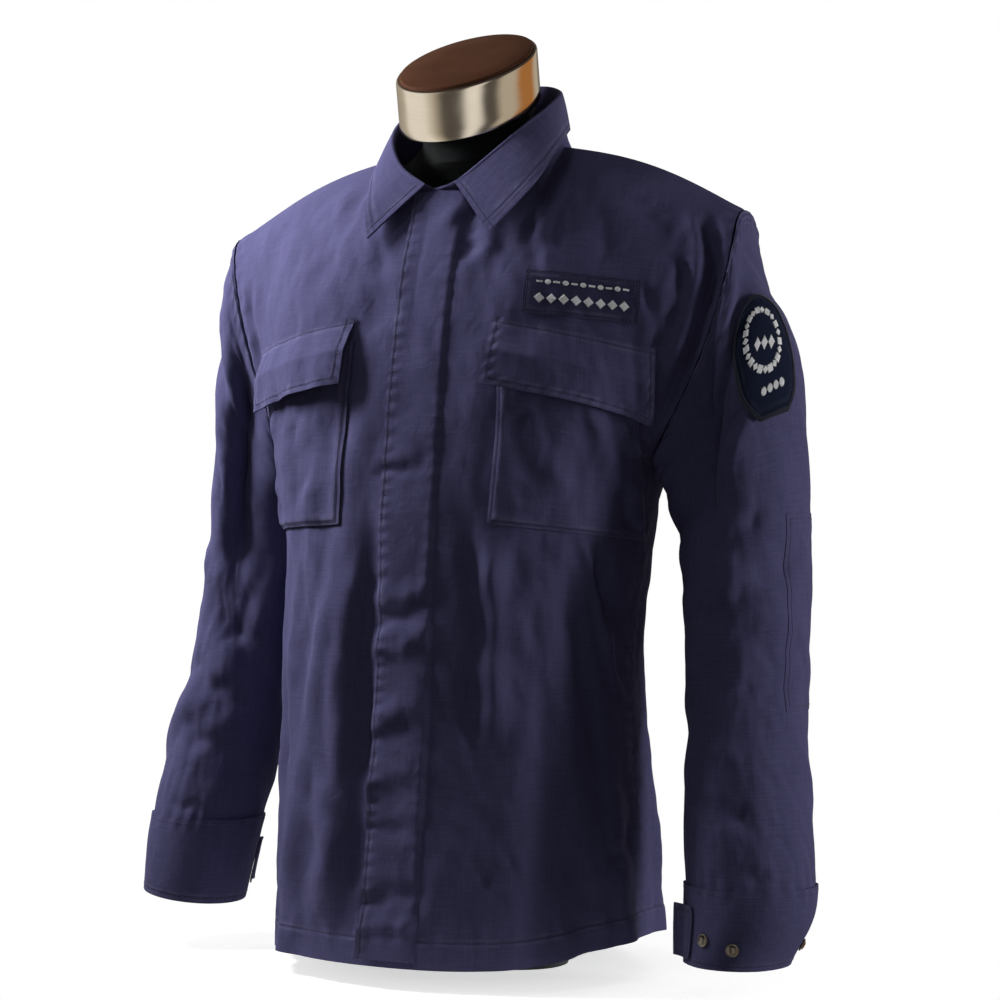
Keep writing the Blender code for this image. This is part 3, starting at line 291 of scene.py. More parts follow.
# sleeve creases: degrees and v of the start and end, bow, width and depth in metres
sleeveCreases = {
    1: (
        (106, 0.000, 116, 0.480, 0.000, 0.030, -0.0300),
        (50, 0.150, 90, 0.225, 0.004, 0.011, -0.0036),
        (62, 0.300, 130, 0.340, 0.004, 0.011, -0.0036),
        (45, 0.425, 112, 0.470, -0.003, 0.009, -0.0026),
        (5, 0.450, 74, 0.525, 0.004, 0.011, -0.0024),
        (84, 0.648, 14, 0.632, 0.003, 0.009, -0.0022),
        (116, 0.548, 58, 0.518, 0.003, 0.009, -0.0026),
        (120, 0.760, 58, 0.800, 0.004, 0.009, -0.0028),
        (80, 0.845, 44, 0.862, 0.002, 0.006, -0.0020),
        (350, 0.030, 38, 0.140, 0.004, 0.013, -0.0018),
        (26, 0.570, -14, 0.655, 0.003, 0.011, -0.0022),
        (180, 0.280, 252, 0.370, 0.006, 0.011, -0.0044),
        (205, 0.430, 148, 0.510, 0.005, 0.010, -0.0034),
        (262, 0.505, 326, 0.450, 0.005, 0.010, -0.0034),
        (246, 0.620, 306, 0.668, 0.004, 0.010, -0.0032),
        (160, 0.620, 216, 0.705, 0.005, 0.010, -0.0034),
        (304, 0.745, 246, 0.800, 0.004, 0.010, -0.0026),
        (20, 0.720, -30, 0.770, 0.004, 0.011, 0.0018),
        (96, 0.700, 60, 0.735, 0.002, 0.008, 0.0016),
    ),
    -1: (
        (102, 0.000, 110, 0.560, 0.002, 0.030, -0.0300),
        (-35, 0.240, 24, 0.095, 0.005, 0.012, -0.0024),
        (78, 0.325, 128, 0.412, 0.004, 0.010, -0.0034),
        (60, 0.525, 140, 0.600, 0.005, 0.011, -0.0040),
        (60, 0.620, 132, 0.698, 0.005, 0.011, -0.0038),
        (74, 0.712, 150, 0.802, 0.005, 0.011, -0.0040),
        (80, 0.842, 150, 0.862, 0.002, 0.007, -0.0022),
        (142, 0.450, 114, 0.600, 0.004, 0.010, -0.0032),
        (50, 0.272, 106, 0.332, 0.004, 0.010, -0.0028),
        (30, 0.460, 74, 0.505, 0.003, 0.010, 0.0022),
        (20, 0.660, 62, 0.640, 0.003, 0.010, -0.0020),
        (190, 0.300, 256, 0.380, 0.005, 0.011, -0.0042),
        (210, 0.450, 160, 0.520, 0.005, 0.010, -0.0034),
        (258, 0.520, 322, 0.460, 0.005, 0.010, -0.0032),
        (250, 0.640, 310, 0.690, 0.004, 0.010, -0.0030),
        (170, 0.660, 220, 0.740, 0.005, 0.010, -0.0034),
        (300, 0.780, 250, 0.820, 0.004, 0.009, -0.0024),
    ),
}


def unit(vectors):
    return vectors / np.maximum(np.linalg.norm(vectors, axis=-1, keepdims=True), 1e-12)


def hermite(t, start, startPull, end, endPull):
    # cubic that leaves start along startPull and reaches end along endPull
    return (
        (2 * t**3 - 3 * t**2 + 1) * start
        + (t**3 - 2 * t**2 + t) * startPull
        + (3 * t**2 - 2 * t**3) * end
        + (t**3 - t**2) * endPull
    )


def spline(x, rows, key, value):
    # cubic through a table's rows, each stretch a Hermite curve with the table's mean slopes
    xs, ys = rows[key], rows[value]
    slope = np.gradient(ys, xs)
    x = np.asarray(x, float)
    i = np.clip(np.searchsorted(xs, x, side="right") - 1, 0, len(xs) - 2)
    step = xs[i + 1] - xs[i]
    t = np.clip((x - xs[i]) / step, 0.0, 1.0)
    return hermite(t, ys[i], slope[i] * step, ys[i + 1], slope[i + 1] * step)


def bell(x, width):
    # cosine squared hump: 1 in the middle, 0 from 1.5 widths on
    return np.cos(np.clip(x / width / 3.0, -0.5, 0.5) * math.pi) ** 2


def smoothStep(x):
    # 0 up to 0, 1 from 1 on, with level ends
    x = np.clip(x, 0.0, 1.0)
    return x * x * (3 - 2 * x)


def crease(x, z, row, seed):
    # depth * (gauss(d) - 0.42 * gauss(d - 1.9) on the lee side), d the distance from a bowed line in widths;
    # it fades to nothing at both ends, and two sines make it uneven along the way
    x0, z0, x1, z1, bow, width, depth = row
    long = math.hypot(x1 - x0, z1 - z0)
    ax, az = (x1 - x0) / long, (z1 - z0) / long
    t = ((x - x0) * ax + (z - z0) * az) / long
    aside = ax * (z - z0) - az * (x - x0)
    inside = np.clip(t, 0.0, 1.0)
    wander = 0.0022 * np.sin(7.1 * inside + seed) + 0.0012 * np.sin(17.0 * inside + 2.3 * seed)
    d = (aside - bow * 4 * inside * (1 - inside) - wander) / (width * (0.8 + 0.35 * inside))
    lee = 1 if seed % 2 > 1 else -1
    shape = np.exp(-(d**2)) - 0.42 * np.exp(-(((d - 1.9 * lee) / 1.25) ** 2))
    fade = smoothStep(t / 0.28 + 0.3) * smoothStep((1 - t) / 0.34 + 0.3)
    uneven = 1 + 0.22 * np.sin(9.0 * inside + 1.7 * seed) + 0.12 * np.sin(23.0 * inside + seed)
    return depth * shape * fade * uneven


def rumple(x, z, seed, slant):
    # sum of ten long waves, each swayed by a slower one across it, higher where they are longer
    rng = np.random.default_rng(seed)
    total = np.zeros(np.broadcast(x, z).shape)
    for size in np.geomspace(0.016, 0.11, 10):
        turn = slant + rng.normal(0.0, 0.55)
        along = x * math.cos(turn) + z * math.sin(turn)
        across = z * math.cos(turn) - x * math.sin(turn)
        slower = size * rng.uniform(2.2, 3.6)
        sway = 1.4 * np.sin(across * 2 * math.pi / slower + rng.uniform(0, 6.28))
        total = total + size * 0.0058 * np.sin(along * 2 * math.pi / size + sway + rng.uniform(0, 6.28))
    return total


def bodySection(u, t, side, face):
    # quarter superellipse from centre line to side seam, its height eased by the turn's sine to the fourth
    word = "left" if side > 0 else "right"
    half = spline(t, levels, "t", word + "X")
    sideZ = spline(t, levels, "t", word + "Z")
    sideY = spline(t, levels, "t", "sideY")
    midY = spline(t, levels, "t", face + "Y")
    midZ = spline(t, levels, "t", face + "Z")
    turn = u * math.pi / 2
    across = np.clip(np.sin(turn), 0.0, 1.0) ** body["sideRound"]
    deep = np.clip(np.cos(turn), 0.0, 1.0) ** body["sideRound"]
    z = midZ + (sideZ - midZ) * np.sin(turn) ** 4
    return np.stack([side * half * across, sideY + (midY - sideY) * deep, z], axis=-1)


def topEdge(u, side, face):
    # neckline as a quarter ellipse to the neck point, then the shoulder seam with a slight sine bow
    start = np.array(body["neckFront"] if face == "front" else body["neckBack"])
    neck = np.array(body["neckSide"])
    tip = np.array(body["shoulderTip"])
    turn = np.clip(u / body["neckU"], 0.0, 1.0)[..., None] * math.pi / 2
    roundNeck = np.concatenate(
        [
            start[0] + (neck[0] - start[0]) * np.sin(turn),
            neck[1] + (start[1] - neck[1]) * np.cos(turn),
            start[2] + (neck[2] - start[2]) * (1 - np.cos(turn)),
        ],
        axis=-1,
    )
    share = np.clip((u - body["neckU"]) / (1 - body["neckU"]), 0.0, 1.0)
    seam = neck + (tip - neck) * share[..., None]
    points = np.where((u <= body["neckU"])[..., None], roundNeck, seam)
    points[..., 2] += body["shoulderBow"] * np.sin(share * math.pi)
    return points * mirror(side)


def easedEdge(u, w, side, face):
    # Hermite stand-in for the top edge low down, the true edge with its neck corner at the top
    flip = mirror(side)
    start = np.array(body["neckFront"] if face == "front" else body["neckBack"]) * flip
    tip = np.array(body["shoulderTip"]) * flip
    pull = np.array(body["edgeStartPull"][face]) * flip
    endPull = np.array(body["edgeEndPull"]) * flip
    smooth = hermite(u[..., None], start, pull, tip, endPull)
    return smooth + (topEdge(u, side, face) - smooth) * w[..., None] ** 4


def armholeBow(angle, side):
    front, back = body["armholeBow"][side]
    return np.where(np.sin(angle) > 0, front, back) * np.sin(angle) ** 2


def armhole(angle, side):
    # tilted ellipse in two halves: angle 0 at the shoulder tip, a quarter turn at the front, half at the armpit
    tip = np.array(body["shoulderTip"])
    pit = np.array(body["armpit"])
    depth = np.where(np.sin(angle) > 0, body["armholeFront"], body["armholeBack"])
    points = (tip + pit) / 2 + (tip - pit) / 2 * np.cos(angle)[..., None]
    points[..., 1] -= depth * np.sin(angle)
    points[..., 0] += armholeBow(angle, side)
    return points * mirror(side)


def smoothPanel(u, v, side, face):
    # half panel without folds: sections up to the armpit, then cubics to the top edge,
    # drawn over to the armhole by u cubed
    u, v = spread(u, v)
    armV = body["armV"]
    step = 1e-3
    low = bodySection(u, np.clip(v / armV, 0.0, 1.0), side, face)
    w = np.clip((v - armV) / (1 - armV), 0.0, 1.0)
    one = np.ones_like(u)
    start = bodySection(u, one, side, face)
    pull = (start - bodySection(u, one - step, side, face)) / (step * armV) * (1 - armV)
    endPull = np.stack([0 * u, spline(u, lifts, "u", face + "Y"), spline(u, lifts, "u", face + "Z")], axis=-1)
    high = hermite(w[..., None], start, pull, easedEdge(u, w, side, face), endPull)
    sideStart = bodySection(one, one, side, face)
    sidePull = (sideStart - bodySection(one, one - step, side, face)) / (step * armV) * (1 - armV)
    tipPull = np.array([0.0, lifts[face + "Y"][-1], lifts[face + "Z"][-1]])
    edge = hermite(w[..., None], sideStart, sidePull, easedEdge(one, w, side, face), tipPull)
    turn = math.pi * (1 - w) * (1 if face == "front" else -1)
    drawn = (armhole(turn, side) - edge) * (u**3)[..., None]
    return np.where((v > armV)[..., None], high + drawn, low)


def bodyFolds(u, v, side, face):
    # sum of long bells across u that fade in and out along v
    total = np.zeros(np.broadcast(u, v).shape)
    for where, hand, uLow, uHigh, vLow, vHigh, width, depth in largeFolds:
        if where != face or hand != side:
            continue
        along = np.clip((v - vLow) / (vHigh - vLow), 0.0, 1.0)
        middle = uLow + (uHigh - uLow) * along
        total = total + depth * np.cos(along * math.pi / 2) ** 1.5 * bell(u - middle, width)
    return total * np.clip((1 - u) / 0.06, 0.0, 1.0) * np.clip(u / 0.10, 0.0, 1.0)


puckers = {
    # height, pitch, sway and its rate, reach
    "side": (0.0007, 0.017, 2.0, 31.0, 0.012),
    "hem": (0.0006, 0.019, 2.0, 37.0, 0.012),
    "flyEdge": (0.0006, 0.0135, 2.2, 43.0, 0.006),
    "flySeam": (0.0003, 0.0155, 2.0, 37.0, 0.008),
    "flap": (0.0005, 0.0125, 0.0, 0.0, 0.004),
}


def pucker(name, along, away):
    # height * sin(along * 2 pi / pitch + sway * sin(along * rate)) * gauss(away / reach)
    high, pitch, sway, rate, reach = puckers[name]
    wave = np.sin(along * 2 * math.pi / pitch + sway * np.sin(along * rate))
    return high * wave * np.exp(-((away / reach) ** 2))


def bodyDetail(u, v, side, face):
    # listed creases and the rumple between them, in flat metres, calm at the seams and at the hem's turn-up
    x = side * u * cloth["bodyWide"]
    z = v * cloth["bodyLong"]
    rows = frontCreases if face == "front" else backCreases
    total = rumple(x, z, 11 if face == "front" else 12, 0.25)
    for number, row in enumerate(rows):
        total = total + crease(x, z, row, 1.0 + 0.77 * number)
    calm = smoothStep((1 - u) / body["calm"]) * smoothStep((1 - v) / body["calm"])
    calm = calm * (0.35 + 0.65 * smoothStep(v / body["calm"]))
    hem = body["hemStep"] * smoothStep((body["hemTurn"] + 0.001 - z) / 0.002)
    ripple = pucker("hem", x, z - body["hemTurn"] - 0.005)
    pull = pucker("side", z, (1 - u) * cloth["bodyWide"])
    return total * calm + hem + ripple + pull * smoothStep((1 - u) / 0.01)


def outward(u, v, side, face):
    # unit normal of the smooth half panel by central differences
    step = 1e-3
    u, v = spread(u, v)
    u = np.clip(u, step, 1 - step)
    v = np.clip(v, step, 1 - step)
    alongU = smoothPanel(u + step, v, side, face) - smoothPanel(u - step, v, side, face)
    alongV = smoothPanel(u, v + step, side, face) - smoothPanel(u, v - step, side, face)
    return unit(np.cross(alongU, alongV)) * side * (1 if face == "front" else -1)


def panel(u, v, side, face, lift=0.0, detail=1.0):
    # half panel with folds, creases and lift, all along the smooth panel's normals
    u, v = spread(u, v)
    out = bodyFolds(u, v, side, face) + detail * bodyDetail(u, v, side, face) + lift
    return smoothPanel(u, v, side, face) + outward(u, v, side, face) * np.asarray(out)[..., None]


def panelPlace(x, z, side):
    # Newton's steps to the u and v of a front with this distance from the centre line and this height
    x, z = spread(x, z)
    u = np.clip(x / 0.22, 0.02, 0.98)
    v = np.clip((z - body["low"]) / body["high"], 0.02, 0.98)
    step = 1e-4
    for _ in range(12):
        here = smoothPanel(u, v, side, "front")
        byU = (smoothPanel(u + step, v, side, "front") - here) / step
        byV = (smoothPanel(u, v + step, side, "front") - here) / step
        missX = x - side * here[..., 0]
        missZ = z - here[..., 2]
        a, b = side * byU[..., 0], side * byV[..., 0]
        c, d = byU[..., 2], byV[..., 2]
        whole = a * d - b * c
        u = np.clip(u + (d * missX - b * missZ) / whole, 0.0, 0.999)
        v = np.clip(v + (a * missZ - c * missX) / whole, 0.0, 0.999)
    return u, v


def smoothSleeve(angle, v, side):
    # tilted ellipses between an inner and an outer line, blending out of the armhole seam over the first tenth
    rings = sleeveRings[side]
    inner = np.stack([spline(v, rings, "v", "inX"), 0 * v, spline(v, rings, "v", "inZ")], axis=-1)
    outer = np.stack([spline(v, rings, "v", "outX"), 0 * v, spline(v, rings, "v", "outZ")], axis=-1)
    points = (inner + outer) / 2 + (outer - inner) / 2 * np.cos(angle)[..., None]
    depth = np.where(np.sin(angle) > 0, spline(v, rings, "v", "frontD"), spline(v, rings, "v", "backD"))
    points[..., 1] = spline(v, rings, "v", "midY") - depth * np.sin(angle)
    points[..., 0] += armholeBow(angle, side) * np.clip(1 - v / sleeve["bowFade"], 0.0, 1.0) ** 1.5
    points = points * mirror(side)
    seam = armhole(angle, side)
    seam[..., 0] += side * sleeve["startGap"]
    blend = np.clip(1 - v / 0.10, 0.0, 1.0)[..., None] ** 2
    return points + (seam - sleeveStart(angle, side)) * blend


def sleeveStart(angle, side):
    first = {name: column[0] for name, column in sleeveRings[side].items()}
    x = (first["inX"] + first["outX"]) / 2 + (first["outX"] - first["inX"]) / 2 * np.cos(angle)
    z = (first["inZ"] + first["outZ"]) / 2 + (first["outZ"] - first["inZ"]) / 2 * np.cos(angle)
    depth = np.where(np.sin(angle) > 0, first["frontD"], first["backD"])
    return np.stack([side * (x + armholeBow(angle, side)), first["midY"] - depth * np.sin(angle), z], axis=-1)


def gathers(angle, count, sway):
    # waves round the sleeve beside a seam, swayed by a slower sine so that they are uneven
    turns = np.degrees(angle) / 360
    return sleeve["gather"] * np.sin(turns * 2 * math.pi * count + 2 * np.sin(angle * sway))


def sleeveDetail(angle, v, side):
    # large slanting folds, listed creases and rumple, none on the armhole seam, calmer on the cuff
    degrees = np.degrees(angle)
    folds = np.zeros(np.broadcast(angle, v).shape)
    for hand, turn, place, slope, width, depth in sleeveFolds:
        if hand == side:
            turned = (degrees - turn + 180.0) % 360.0 - 180.0
            folds = folds + depth * bell(v - place - slope * turned, width) * bell(turned, 60.0)
    folds = folds * np.clip(v / 0.10, 0.0, 1.0) * np.clip((sleeve["cuffV"] - v) / 0.05, 0.0, 1.0)
    perDegree = cloth["sleeveRound"] / 360
    z = v * cloth["sleeveLong"]
    fine = np.zeros(np.broadcast(angle, v).shape)
    for number, row in enumerate(sleeveCreases[side]):
        middle = (row[0] + row[2]) / 2
        x = ((degrees - middle + 180.0) % 360.0 - 180.0) * perDegree
        ends = ((row[0] - middle) * perDegree, row[1] * cloth["sleeveLong"])
        ends += ((row[2] - middle) * perDegree, row[3] * cloth["sleeveLong"])
        fine = fine + crease(x, z, ends + row[4:], 2.0 + 0.91 * number)
    ringX, ringY = sleeve["radius"] * np.cos(angle), sleeve["radius"] * np.sin(angle)
    fine = fine + rumple(ringX * 1.6, z + ringY * 1.3, 21 + side, 0.6)
    calm = smoothStep(v / 0.06) * (0.25 + 0.75 * smoothStep((sleeve["calmV"] - v) / 0.03))
    high, rollAt, rollWide = sleeve["roll"]
    roll = high * np.exp(-(((z - rollAt) / rollWide) ** 2))
    count, sway, place, reach = sleeve["gathers"]["armhole"]
    pull = gathers(angle, count, sway) * np.exp(-(((z - place) / reach) ** 2))
    count, sway, place, reach = sleeve["gathers"]["cuff"]
    cuffPull = gathers(angle, count, sway) * np.exp(-(((v - place) * cloth["sleeveLong"] / reach) ** 2))
    return folds + fine * calm + roll + pull + cuffPull


def sleeveSurface(angle, v, side, lift=0.0, detail=1.0):
    # smooth sleeve moved out along its normals by its detail and lift
    angle, v = spread(angle, v)
    step = 1e-3
    low, high = np.clip(v - step, 0, 1), np.clip(v + step, 0, 1)
    around = smoothSleeve(angle + step, v, side) - smoothSleeve(angle - step, v, side)
    along = smoothSleeve(angle, high, side) - smoothSleeve(angle, low, side)
    normal = unit(np.cross(around, along)) * side
    out = sleeveDetail(angle, v, side) * detail + lift
    return smoothSleeve(angle, v, side) + normal * np.asarray(out)[..., None]


def gridNormals(points, closed=False):
    # unit normals by central differences, wrapped round where the grid is closed
    if closed:
        alongI = np.roll(points, -1, axis=0) - np.roll(points, 1, axis=0)
    else:
        alongI = np.gradient(points, axis=0)
    return unit(np.cross(alongI, np.gradient(points, axis=1)))


def flatUv(mesh, uv):
    # the layer "flat", in metres, from one pair for each point
    order = np.empty(len(mesh.loops), np.int32)
    mesh.loops.foreach_get("vertex_index", order)
    layer = mesh.uv_layers.new(name="flat")
    layer.data.foreach_set("uv", np.asarray(uv, np.float32)[order].ravel())


def turnOutward(mesh, points):
    # flips a closed mesh that holds a negative volume
    mesh.calc_loop_triangles()
    corners = np.empty(len(mesh.loop_triangles) * 3, np.int32)
    mesh.loop_triangles.foreach_get("vertices", corners)
    if np.linalg.det(points[corners.reshape(-1, 3)] - points.mean(axis=0)).sum() < 0:
        mesh.flip_normals()


def finished(name, mesh, finish, sharp=None):
    mesh.materials.append(finish)
    mesh.shade_smooth()
    if sharp:
        mesh.set_sharp_from_angle(angle=sharp)
    obj = bpy.data.objects.new(name, mesh)
    bpy.context.collection.objects.link(obj)
    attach(obj, "root")
    return obj


def meshObject(name, points, faces, finish, uv, marks):
    # mesh from arrays: uv and marks are given for each point
    mesh = bpy.data.meshes.new(name)
    points = np.asarray(points, np.float32)
    faces = np.asarray(faces, np.int32)
    mesh.vertices.add(len(points))
    mesh.vertices.foreach_set("co", points.ravel())
    mesh.loops.add(faces.size)
    mesh.loops.foreach_set("vertex_index", faces.ravel())
    mesh.polygons.add(len(faces))
    mesh.polygons.foreach_set("loop_start", np.arange(len(faces), dtype=np.int32) * faces.shape[1])
    mesh.update(calc_edges=True)
    volume = np.linalg.det(points[faces[:, :3]]).sum() + np.linalg.det(points[faces[:, [0, 2, 3]]]).sum()
    if volume < 0:
        mesh.flip_normals()
    flatUv(mesh, uv)
    for mark, values in (marks or {}).items():
        attribute = mesh.attributes.new(mark, "FLOAT", "POINT")
        attribute.data.foreach_set("value", np.asarray(values, np.float32).ravel())
    return finished(name, mesh, finish, 0.9)


def wall(name, points, finish, uv, marks=None, closed=False, normals=None, thick=None):
    # closed cloth wall: the grid moved half a thickness out and in, joined round its open edges
    thick = thick or cloth["thick"]
    if normals is None:
        normals = gridNormals(points, closed)
    half = normals * thick / 2
    both = np.concatenate([(points + half).reshape(-1, 3), (points - half).reshape(-1, 3)])
    n, m = points.shape[:2]
    index = np.arange(n * m).reshape(n, m)
    far = np.roll(index, -1, axis=0) if closed else index[1:]
    near = index if closed else index[:-1]
    quads = np.stack([near[:, :-1], far[:, :-1], far[:, 1:], near[:, 1:]], axis=-1).reshape(-1, 4)
    faces = [quads, quads[:, ::-1] + n * m]
    rims = [(near[:, 0], far[:, 0], False), (near[:, -1], far[:, -1], True)]
    if not closed:
        rims += [(index[0, :-1], index[0, 1:], True), (index[-1, :-1], index[-1, 1:], False)]
    for first, second, turned in rims:
        rim = np.stack([first, first + n * m, second + n * m, second], axis=-1)
        faces.append(rim[:, ::-1] if turned else rim)
    flat = np.concatenate([uv.reshape(-1, 2)] * 2)
    doubled = {mark: np.concatenate([values.ravel()] * 2) for mark, values in (marks or {}).items()}
    return meshObject(name, both, np.concatenate(faces), finish, flat, doubled)


def reachAlong(points):
    # length of the way to each point
    return np.concatenate([[0.0], np.cumsum(np.linalg.norm(np.diff(points, axis=0), axis=1))])


def resampled(values, reach, places):
    # each column read off at new places along the way
    return np.stack([np.interp(places, reach, column) for column in values.T], axis=-1)


sewing = {"rise": 0.00085, "spacing": 0.0033, "long": 0.0025, "high": 0.00022}


def stitches(name, runs):
    # runs: (points, normals) along seams; each stitch is a spindle on the cloth, laid end to end with gaps
    centres, ways, ups = [], [], []
    for points, normals in runs:
        reach = reachAlong(points)
        places = np.arange(sewing["spacing"] / 2, reach[-1], sewing["spacing"])
        centres.append(resampled(points, reach, places))
        ways.append(unit(resampled(np.gradient(points, reach, axis=0), reach, places)))
        ups.append(unit(resampled(normals, reach, places)))
    centre, way, up = (np.concatenate(rows)[:, None, None, :] for rows in (centres, ways, ups))
    along = np.array([-0.5, -0.25, 0.25, 0.5])[:, None, None] * sewing["long"]
    girth = np.array([0.25, 1.0, 1.0, 0.25])[:, None, None] * sewing["high"]
    turn = (np.arange(5) * 2 * math.pi / 5)[None, :, None]
    ring = girth * (np.cos(turn) * np.cross(way, up) * 1.2 + np.sin(turn) * up)
    points = centre + along * way + ring + up * sewing["high"] * 0.25
    return spindles(name, points, navyThread)


def spindles(name, points, finish):
    # four rings of five points each: sides as quads and both ends as five-sided faces
    index = np.arange(points.size // 3).reshape(points.shape[:3])
    near, far = index[:, :-1], index[:, 1:]
    quads = np.stack([near, np.roll(near, -1, 2), np.roll(far, -1, 2), far], axis=-1).reshape(-1, 4)
    points = points.reshape(-1, 3)
    mesh = bpy.data.meshes.new(name)
    ends = index[:, 0, ::-1].tolist() + index[:, -1].tolist()
    mesh.from_pydata(points.tolist(), [], quads.tolist() + ends)
    mesh.update()
    turnOutward(mesh, points)
    return finished(name, mesh, finish)


print("surfaces ready")


def shaded(colour, factor=1.0, extra=0.0):
    # a colour made darker or lighter, with its alpha
    return tuple(min(1.0, factor * part + extra) for part in colour) + (1.0,)


def nodeSet(owner):
    # clears a material's or a world's nodes and gives shorthands for building new ones
    owner.use_nodes = True
    nodes, links = owner.node_tree.nodes, owner.node_tree.links
    nodes.clear()

    def add(kind, values=None, **settings):
        node = nodes.new(kind)
        for name, value in settings.items():
            setattr(node, name, value)
        for socket, value in (values or {}).items():
            if isinstance(value, bpy.types.NodeSocket):
                links.new(value, node.inputs[socket])
            else:
                node.inputs[socket].default_value = value
        return node

    def calc(operation, a, b=0.0, clamp=False):
        return add("ShaderNodeMath", {0: a, 1: b}, operation=operation, use_clamp=clamp).outputs[0]

    def ramp(source, stops):
        node = add("ShaderNodeValToRGB", {0: source})
        while len(node.color_ramp.elements) < len(stops):
            node.color_ramp.elements.new(0.5)
        for element, (place, shade) in zip(node.color_ramp.elements, stops):
            element.position = place
            element.color = shade if hasattr(shade, "__len__") else (shade, shade, shade, 1.0)
        return node.outputs[0]

    def mix(factor, first, second):
        return add("ShaderNodeMix", {0: factor, 6: first, 7: second}, data_type="RGBA").outputs[2]

    def noise(vector, scale, detail, roughness=0.5, distortion=0.0):
        sockets = {"Vector": vector, "Scale": scale, "Detail": detail}
        sockets.update({"Roughness": roughness, "Distortion": distortion})
        return add("ShaderNodeTexNoise", sockets).outputs[0]

    def bump(height, strength, distance, under=None):
        sockets = {"Height": height, "Strength": strength, "Distance": distance}
        return add("ShaderNodeBump", sockets | ({"Normal": under} if under else {})).outputs[0]

    return add, calc, ramp, mix, noise, bump


def flatAndPlace(add):
    # the piece's own flat UV in metres, and Object coordinates
    return add("ShaderNodeUVMap", uv_map="flat").outputs[0], add("ShaderNodeTexCoord").outputs["Object"]


def finishMaterial(add, sockets):
    shader = add("ShaderNodeBsdfPrincipled", sockets)
    add("ShaderNodeOutputMaterial", {0: shader.outputs[0]})


clothLook = {
    "thread": 0.00052,  # metres from one thread to the next
    "slub": 0.0030,
    "blotch": 9.0,
    "wrinkle": 46.0,
    "lint": 420.0,
    "roughness": 0.86,
    "sheen": 0.06,
    "sheenRoughness": 0.45,
    "specular": 0.06,
    # strength and depth of each relief
    "wrinkleBump": (0.55, 0.0016),
    "slubBump": (0.17, 0.0006),
    "weaveBump": (0.20, 0.0003),
    "grooveBump": (0.5, 0.0006),
}


def clothMaterial(name, colour, worn, twill=False):
    # two crossing sine threads over the flat UV, uneven yarn, faint washed blotches, small wrinkles, and a groove
    # with painted shade in it and paler worn shoulders beside every seam mark
    material = bpy.data.materials.new(name)
    add, calc, ramp, mix, noise, bump = nodeSet(material)
    flat, place = flatAndPlace(add)
    split = add("ShaderNodeSeparateXYZ", {0: flat})
    x, y = split.outputs[0], split.outputs[1]
    if twill:
        x, y = calc("ADD", x, y), calc("SUBTRACT", x, calc("MULTIPLY", y, 0.25))
    pitch = 2 * math.pi / clothLook["thread"]
    warp, weft = (calc("SINE", calc("MULTIPLY", way, pitch)) for way in (x, y))
    weave = calc("ADD", calc("MULTIPLY", calc("MULTIPLY", warp, weft), 0.5), 0.5)
    across, along = 2.2 / clothLook["slub"], 0.09 / clothLook["slub"]
    yarnUp, yarnOver = (
        noise(add("ShaderNodeMapping", {0: flat, 3: scale}).outputs[0], 1.0, 3.0, 0.65)
        for scale in ((across, along, 1.0), (along, across, 1.0))
    )
    yarn = calc("MULTIPLY", calc("ADD", yarnUp, yarnOver), 0.5)
    blotch = noise(place, clothLook["blotch"], 4.0, 0.6)
    wrinkle = noise(place, clothLook["wrinkle"], 5.0, 0.55, 0.9)
    lint = noise(place, clothLook["lint"], 2.0)
    dark, light = shaded(colour, 0.80), shaded(colour, 1.16, 0.002)
    tone = mix(ramp(yarn, ((0.36, 0.0), (0.64, 1.0))), dark, light)
    tone = mix(calc("MULTIPLY", weave, 0.16), tone, dark)
    tone = mix(ramp(blotch, ((0.35, 0.0), (0.75, 0.38))), tone, shaded(colour, 1.12))
    tone = mix(ramp(lint, ((0.70, 0.0), (0.78, 0.35))), tone, shaded(worn))
    grooves, wears = [], []
    for mark in ("seamA", "seamB"):
        away = calc("ABSOLUTE", add("ShaderNodeAttribute", attribute_name=mark).outputs["Fac"])
        grooves.append(ramp(calc("MULTIPLY", away, 250.0), ((0.0, 1.0), (0.30, 0.0))))
        wears.append(ramp(calc("MULTIPLY", away, 120.0), ((0.10, 0.0), (0.24, 1.0), (0.62, 0.0))))
    groove = calc("MAXIMUM", *grooves)
    wear = calc("MULTIPLY", calc("MAXIMUM", *wears), ramp(wrinkle, ((0.40, 0.0), (0.62, 0.30))))
    tone = mix(wear, tone, shaded(worn))
    # the seam groove's line is painted darker: painted shade in the groove
    tone = mix(calc("MULTIPLY", groove, 0.34), tone, shaded(colour, 0.38))
    relief = bump(wrinkle, *clothLook["wrinkleBump"])
    relief = bump(yarn, *clothLook["slubBump"], relief)
    relief = bump(weave, *clothLook["weaveBump"], relief)
    relief = bump(calc("SUBTRACT", 1.0, groove), *clothLook["grooveBump"], relief)
    finishMaterial(add, {
        "Base Color": tone,
        "Roughness": clothLook["roughness"],
        "Specular IOR Level": clothLook["specular"],
        "Sheen Weight": clothLook["sheen"],
        "Sheen Roughness": clothLook["sheenRoughness"],
        "Sheen Tint": shaded(colour, 2.4, 0.35),
        "Normal": relief,
    })
    return material


